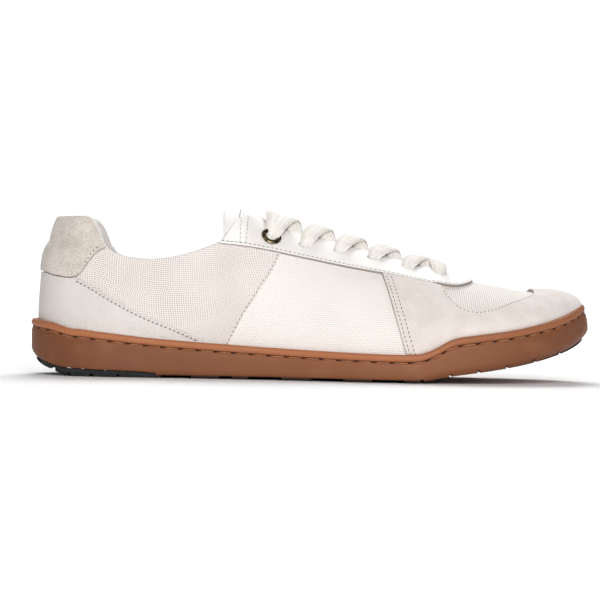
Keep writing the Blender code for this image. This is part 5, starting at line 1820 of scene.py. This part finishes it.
RINGS = table(
    "inset under",
    (0.0000, 0.0062), (0.0001, 0.0052), (0.0004, 0.0047), (0.0010, 0.0043), (0.0011, 0.0040),
    (0.0009, 0.0037), (0.0002, 0.0033), (-0.0001, 0.0026), (-0.0002, 0.0018), (0.0000, 0.0010),
    (0.0005, 0.0004), (0.0012, 0.0001), (0.0020, 0.0000), (0.0032, 0.0002), (0.0040, 0.0010),
    (0.0043, 0.0030), (0.0043, 0.0080),
)


@dataclass
class Sole:
    """The gum cup with its stitched bead, and the lugs of gum and slate under it."""

    last: Last
    bench: Bench
    palette: Palette
    columns: int = 330
    stitch: float = 0.0088
    slate_length: float = 0.066
    split_gap: float = 0.0003
    lug: float = 0.0015
    round_off: float = 0.0026
    round_height: float = 0.0040
    toe_lean: float = 0.0025
    groove: float = 0.0041

    def notch_edges(self) -> Array:
        """How far forward each notch starts and ends."""
        middles, half = NOTCHES["along"] * self.last.shoe_length, NOTCHES["width"] / 2
        return np.concatenate([middles - half, middles + half])

    def ribs(self) -> Array:
        """Places all round, with a pair at every edge of a notch."""
        last = self.last
        dense = np.linspace(0, 3, 3000)
        marks = np.linspace(0, 3, self.columns)
        edges = np.append(self.notch_edges(), self.slate_length)
        both = []
        for places in (dense, 6 - dense):
            x = last.foot(places, 0.0)[0]
            for shift in (-0.00006, 0.00006):
                both.append(np.interp(edges + shift, x, places))
        return np.unique(np.concatenate([marks, 6 - marks, *both]))

    def lifted(self, x: Array) -> Array:
        """How much the tread is cut away at each x."""
        cut = np.zeros_like(x)
        for along, width in zip(*NOTCHES.values()):
            cut = np.where(np.abs(x - along * self.last.shoe_length) < width / 2, self.lug, cut)
        return cut

    def split(self, x: Array) -> Array:
        """The top of the slate tread above the underside."""
        last = self.last
        share = eased(HEEL_TREAD, "height", x / self.slate_length)
        return np.maximum(last.heel_bevel * share - last.underside(x), 0.0006)

    def side(self, name: str, places: Array, low: Array, rings: list[tuple[Array, Array]]) -> Piece:
        """The side wall as rings round the outline.

        Args:
            name: the piece's name.
            places: the columns' places.
            low: the least height of each column.
            rings: for each ring, how far inside the outline it is and its height.

        Returns:
            The piece, with the attribute that tells how far each point is under the rim.
        """
        last = self.last
        after, before = (np.stack(last.foot(places + step, 0.0), axis=1) for step in (0.002, -0.002))
        ahead = unit(after - before)
        inward = np.stack([-ahead[:, 1], ahead[:, 0]], axis=1)
        base = np.stack(last.foot(places, 0.0), axis=1)
        rim = last.rim_height(base[:, 0])
        points, under = [], []
        for inset, height in rings:
            flat = base + inward * (inset + self.lean(base[:, 0], height))[:, None]
            height = np.maximum(height, low)
            points.append(np.column_stack([flat, height]))
            under.append(rim - height)
        obj = self.bench.sheet(name, np.array(points))
        self.bench.mark(obj, "under_rim", np.array(under))
        self.bench.weld(obj, 40)
        return obj

    def lean(self, x: Array, height: Array) -> Array:
        """How far the wall leans back at the toe, at a height."""
        last = self.last
        share = ramp((height - last.underside(x)) / last.toe_wall, 0.25, 1.05)
        return self.toe_lean * share * ramp(x / last.shoe_length, 0.94, 1.0)

    def rounded(self, above: Array) -> Array:
        """How far inside the outline the wall is near the ground, by its height above the underside."""
        return self.round_off * (1 - np.clip(above / self.round_height, 0, 1)) ** 2.2

    def build(self) -> None:
        """Builds the walls, the tread and the stitches."""
        last = self.last
        places = np.unique(np.append(self.ribs(), 6.0))
        x = last.foot(places, 0.0)[0]
        ground, rim = last.underside(x), last.rim_height(x)
        cut = self.lifted(x)
        heel = x <= self.slate_length
        start = np.where(heel, self.split(x) + self.split_gap, 0.0)
        top = rim - RINGS["under"][0] - ground
        rings = []
        for share in (0.0, 0.04, 0.1, 0.2, 0.32, 0.5, 0.75):
            above = start + (top - start) * share
            rings.append((self.rounded(above) + (0.0003 if share == 0 else 0.0) * heel, ground + above))
        rings += [(inset, rim - under) for inset, under in zip(*RINGS.values())]
        wall = self.side("sole_wall", places, ground + np.where(heel, 0, cut), rings)
        self.bench.wear(wall, self.palette.gum, "gum_rubber", "cupsole")
        near = places[heel]
        split_at = int(np.argmax(np.diff(near))) + 1
        near = np.unique(np.concatenate([near[split_at:] - 6, near[:split_at]]))
        x = last.foot(near, 0.0)[0]
        ground = last.underside(x)
        rings = []
        for share in (0.0, 0.15, 0.3, 0.5, 0.75, 0.93, 1.0):
            above = self.split(x) * share
            rings.append((self.rounded(above) + (0.0004 if share == 1.0 else 0.0), ground + above))
        rings.append((self.rounded(self.split(x)) + 0.0016, ground + self.split(x)))
        slate = self.side("heel_tread_edge", near, ground + self.lifted(x), rings)
        self.bench.wear(slate, self.palette.slate, "slate_rubber", "heel_tread")
        self.build_tread()
        self.build_stitches()

    def build_tread(self) -> None:
        """The underside: lugs across it and a channel along it."""
        last = self.last
        edge = last.inset_outline(self.round_off)
        low, high = edge[:, 0].min() + 0.0002, edge[:, 0].max() - 0.0002
        outer = edge[edge[:, 1] < np.interp(edge[:, 0], [low, high], [0, 0.009])]
        inner = edge[edge[:, 1] >= np.interp(edge[:, 0], [low, high], [0, 0.009])]
        outer, inner = outer[np.argsort(outer[:, 0])], inner[np.argsort(inner[:, 0])]
        marks = self.notch_edges()
        base = low + (high - low) * (1 - np.cos(np.linspace(0, math.pi, 150))) / 2
        shift = 0.00008
        xs = np.unique(np.concatenate([base, marks - shift, marks + shift]))
        lines = np.concatenate([np.linspace(-1, 1, 21), [-0.028, -0.022, 0.022, 0.028]])
        for name, paint, slot, part in (
            ("heel_tread_lugs", self.palette.slate, "slate_rubber", xs[xs < self.slate_length]),
            ("sole_lugs", self.palette.gum, "gum_rubber", xs[xs >= self.slate_length]),
        ):
            y_low = np.interp(part, outer[:, 0], outer[:, 1])
            y_high = np.interp(part, inner[:, 0], inner[:, 1])
            spread = np.sort(lines)[:, None]
            y = (y_low + y_high) / 2 + (y_high - y_low) / 2 * spread
            x = np.broadcast_to(part, y.shape)
            channel = (np.abs(spread) < 0.025) & (x > 0.10 * last.shoe_length) & (x < 0.93 * last.shoe_length)
            z = last.underside(x) + np.maximum(self.lifted(x), self.lug * channel)
            tread = self.bench.sheet(name, np.stack([x, y, z], axis=2)[::-1])
            self.bench.mark(tread, "under_rim", np.full(y.size, 0.02))
            self.bench.smooth(tread, 35)
            self.bench.wear(tread, paint, slot)

    def build_stitches(self) -> None:
        """The thread that lies in the groove, and dark beads, painted shade, for the holes that it goes down
        into.
        """
        last = self.last
        places = np.mod(np.linspace(0, 6, 1500), 6)
        x, y = last.foot(places, 0.0)
        points = np.column_stack([x, y, last.rim_height(x) - self.groove])
        ahead = np.gradient(points, axis=0)
        out = unit(np.cross(ahead, np.broadcast_to([0.0, 0.0, 1.0], ahead.shape)))
        for name, paint, size, start, sink in (
            ("sole_thread", self.palette.gum_thread, (0.0070, 0.00075, 0.0008), self.stitch / 2, 0.0009),
            ("sole_stitch_holes", self.palette.gum_hole_shade, (0.0016, 0.0007, 0.0008), 0.0, 0.0006),
        ):
            back = (sink + self.lean(x, points[:, 2]))[:, None]
            spots, axes = Sewing.spaced(points - out * back, out, self.stitch, start)
            obj = self.bench.copies(name, self.bench.model(*size), spots, axes)
            self.bench.wear(obj, paint, "gum_rubber")


@dataclass
class Studio:
    """The pale floor, the soft lights and the camera at the photograph's angle."""

    last: Last
    distance: float = 1.0
    aim_x: float = 0.1371
    aim_z: float = 0.0399
    pixels: float = 1948.0
    roll: float = 1.0

    def build(self) -> None:
        """Builds the set."""
        self.build_floor()
        self.build_lights()
        self.build_camera()

    def build_floor(self) -> None:
        """A floor that curves up behind the shoe."""
        bpy.ops.object.select_all(action="DESELECT")
        bpy.ops.mesh.primitive_grid_add(x_subdivisions=2, y_subdivisions=60, size=1.0)
        floor = bpy.context.object
        floor.name = "studio_floor"
        turn = 0.8
        for vertex in floor.data.vertices:
            x, run = vertex.co.x * 12, (vertex.co.y + 0.5) * 8 - 3.0
            bend = min(max(run - 1.6, 0.0), turn * math.pi / 2)
            y = min(run, 1.6) + turn * math.sin(bend / turn)
            z = turn * (1 - math.cos(bend / turn)) + max(run - 1.6 - turn * math.pi / 2, 0.0)
            vertex.co = (x, y, z)
        floor.data.shade_smooth()
        graph = Graph("studio_paper")
        colour = graph.blend(graph.noise(3, 2), tone(250, 250, 250), tone(249, 249, 249))
        floor.data.materials.append(graph.dress(colour, 0.9, graph.noise(40, 2), 0.00002))

    def build_lights(self) -> None:
        """A large soft light above and behind, two in front, one on the backdrop and a dim white surround."""
        world = bpy.data.worlds.new("studio_surround")
        world.use_nodes = True
        back = world.node_tree.nodes["Background"]
        back.inputs["Color"].default_value = (1.0, 1.0, 1.0, 1.0)
        back.inputs["Strength"].default_value = 0.15
        bpy.context.scene.world = world
        for name, place, to, size, power in (
            ("key", (0.0, 0.95, 1.10), (0.0, 0.0, 0.03), 0.8, 17.0),
            ("front", (0.15, -1.5, 0.62), (0.0, 0.0, 0.03), 1.0, 17.6),
            ("front_floor", (0.0, -0.95, 0.9), (0.0, -1.4, 0.0), 0.7, 5.0),
            ("backdrop", (0.0, 1.1, 1.1), (0.0, 2.2, 0.2), 1.2, 18.0),
        ):
            data = bpy.data.lights.new(name, "AREA")
            data.shape, data.size, data.energy = "SQUARE", size, power
            light = bpy.data.objects.new(name, data)
            bpy.context.scene.collection.objects.link(light)
            light.location = place
            aim = Vector(to) - Vector(place)
            light.rotation_euler = aim.to_track_quat("-Z", "Y").to_euler()
        bpy.context.scene.view_settings.view_transform = "Standard"

    def build_camera(self) -> None:
        """The camera, level with the shoe and rolled one degree."""
        data = bpy.data.cameras.new("camera")
        data.sensor_width = 36.0
        data.lens = self.pixels / 600 * 36.0
        camera = bpy.data.objects.new("camera", data)
        bpy.context.scene.collection.objects.link(camera)
        place = Matrix.Translation((self.aim_x - self.last.origin[0], -self.distance, self.aim_z))
        turn = Matrix.Rotation(math.radians(90), 4, "X") @ Matrix.Rotation(math.radians(self.roll), 4, "Z")
        camera.matrix_world = place @ turn
        bpy.context.scene.camera = camera


def main() -> None:
    """Builds the shoe's pieces in order, then the studio."""
    logging.basicConfig(level=logging.INFO, format="%(message)s")
    last = Last()
    palette = Palette()
    bench = Bench(last)
    sewing = Sewing(bench, palette)
    Upper(last, bench, sewing, palette).build()
    overlays = Overlays(last, bench, sewing, palette)
    overlays.build_counter()
    overlays.build_tab()
    overlays.build_toe()
    eyestay = overlays.build_eyestay()
    lacing = Lacing(last, bench, palette)
    lacing.punch(eyestay, bpy.data.objects["upper_shell"], bpy.data.objects["upper_lining"])
    lacing.build_rings()
    lacing.build()
    inside = Inside(last, bench, sewing, palette)
    inside.build_tongue()
    inside.build_footbed()
    Sole(last, bench, palette).build()
    sewing.finish()
    Studio(last).build()


if __name__ == "__main__":
    main()
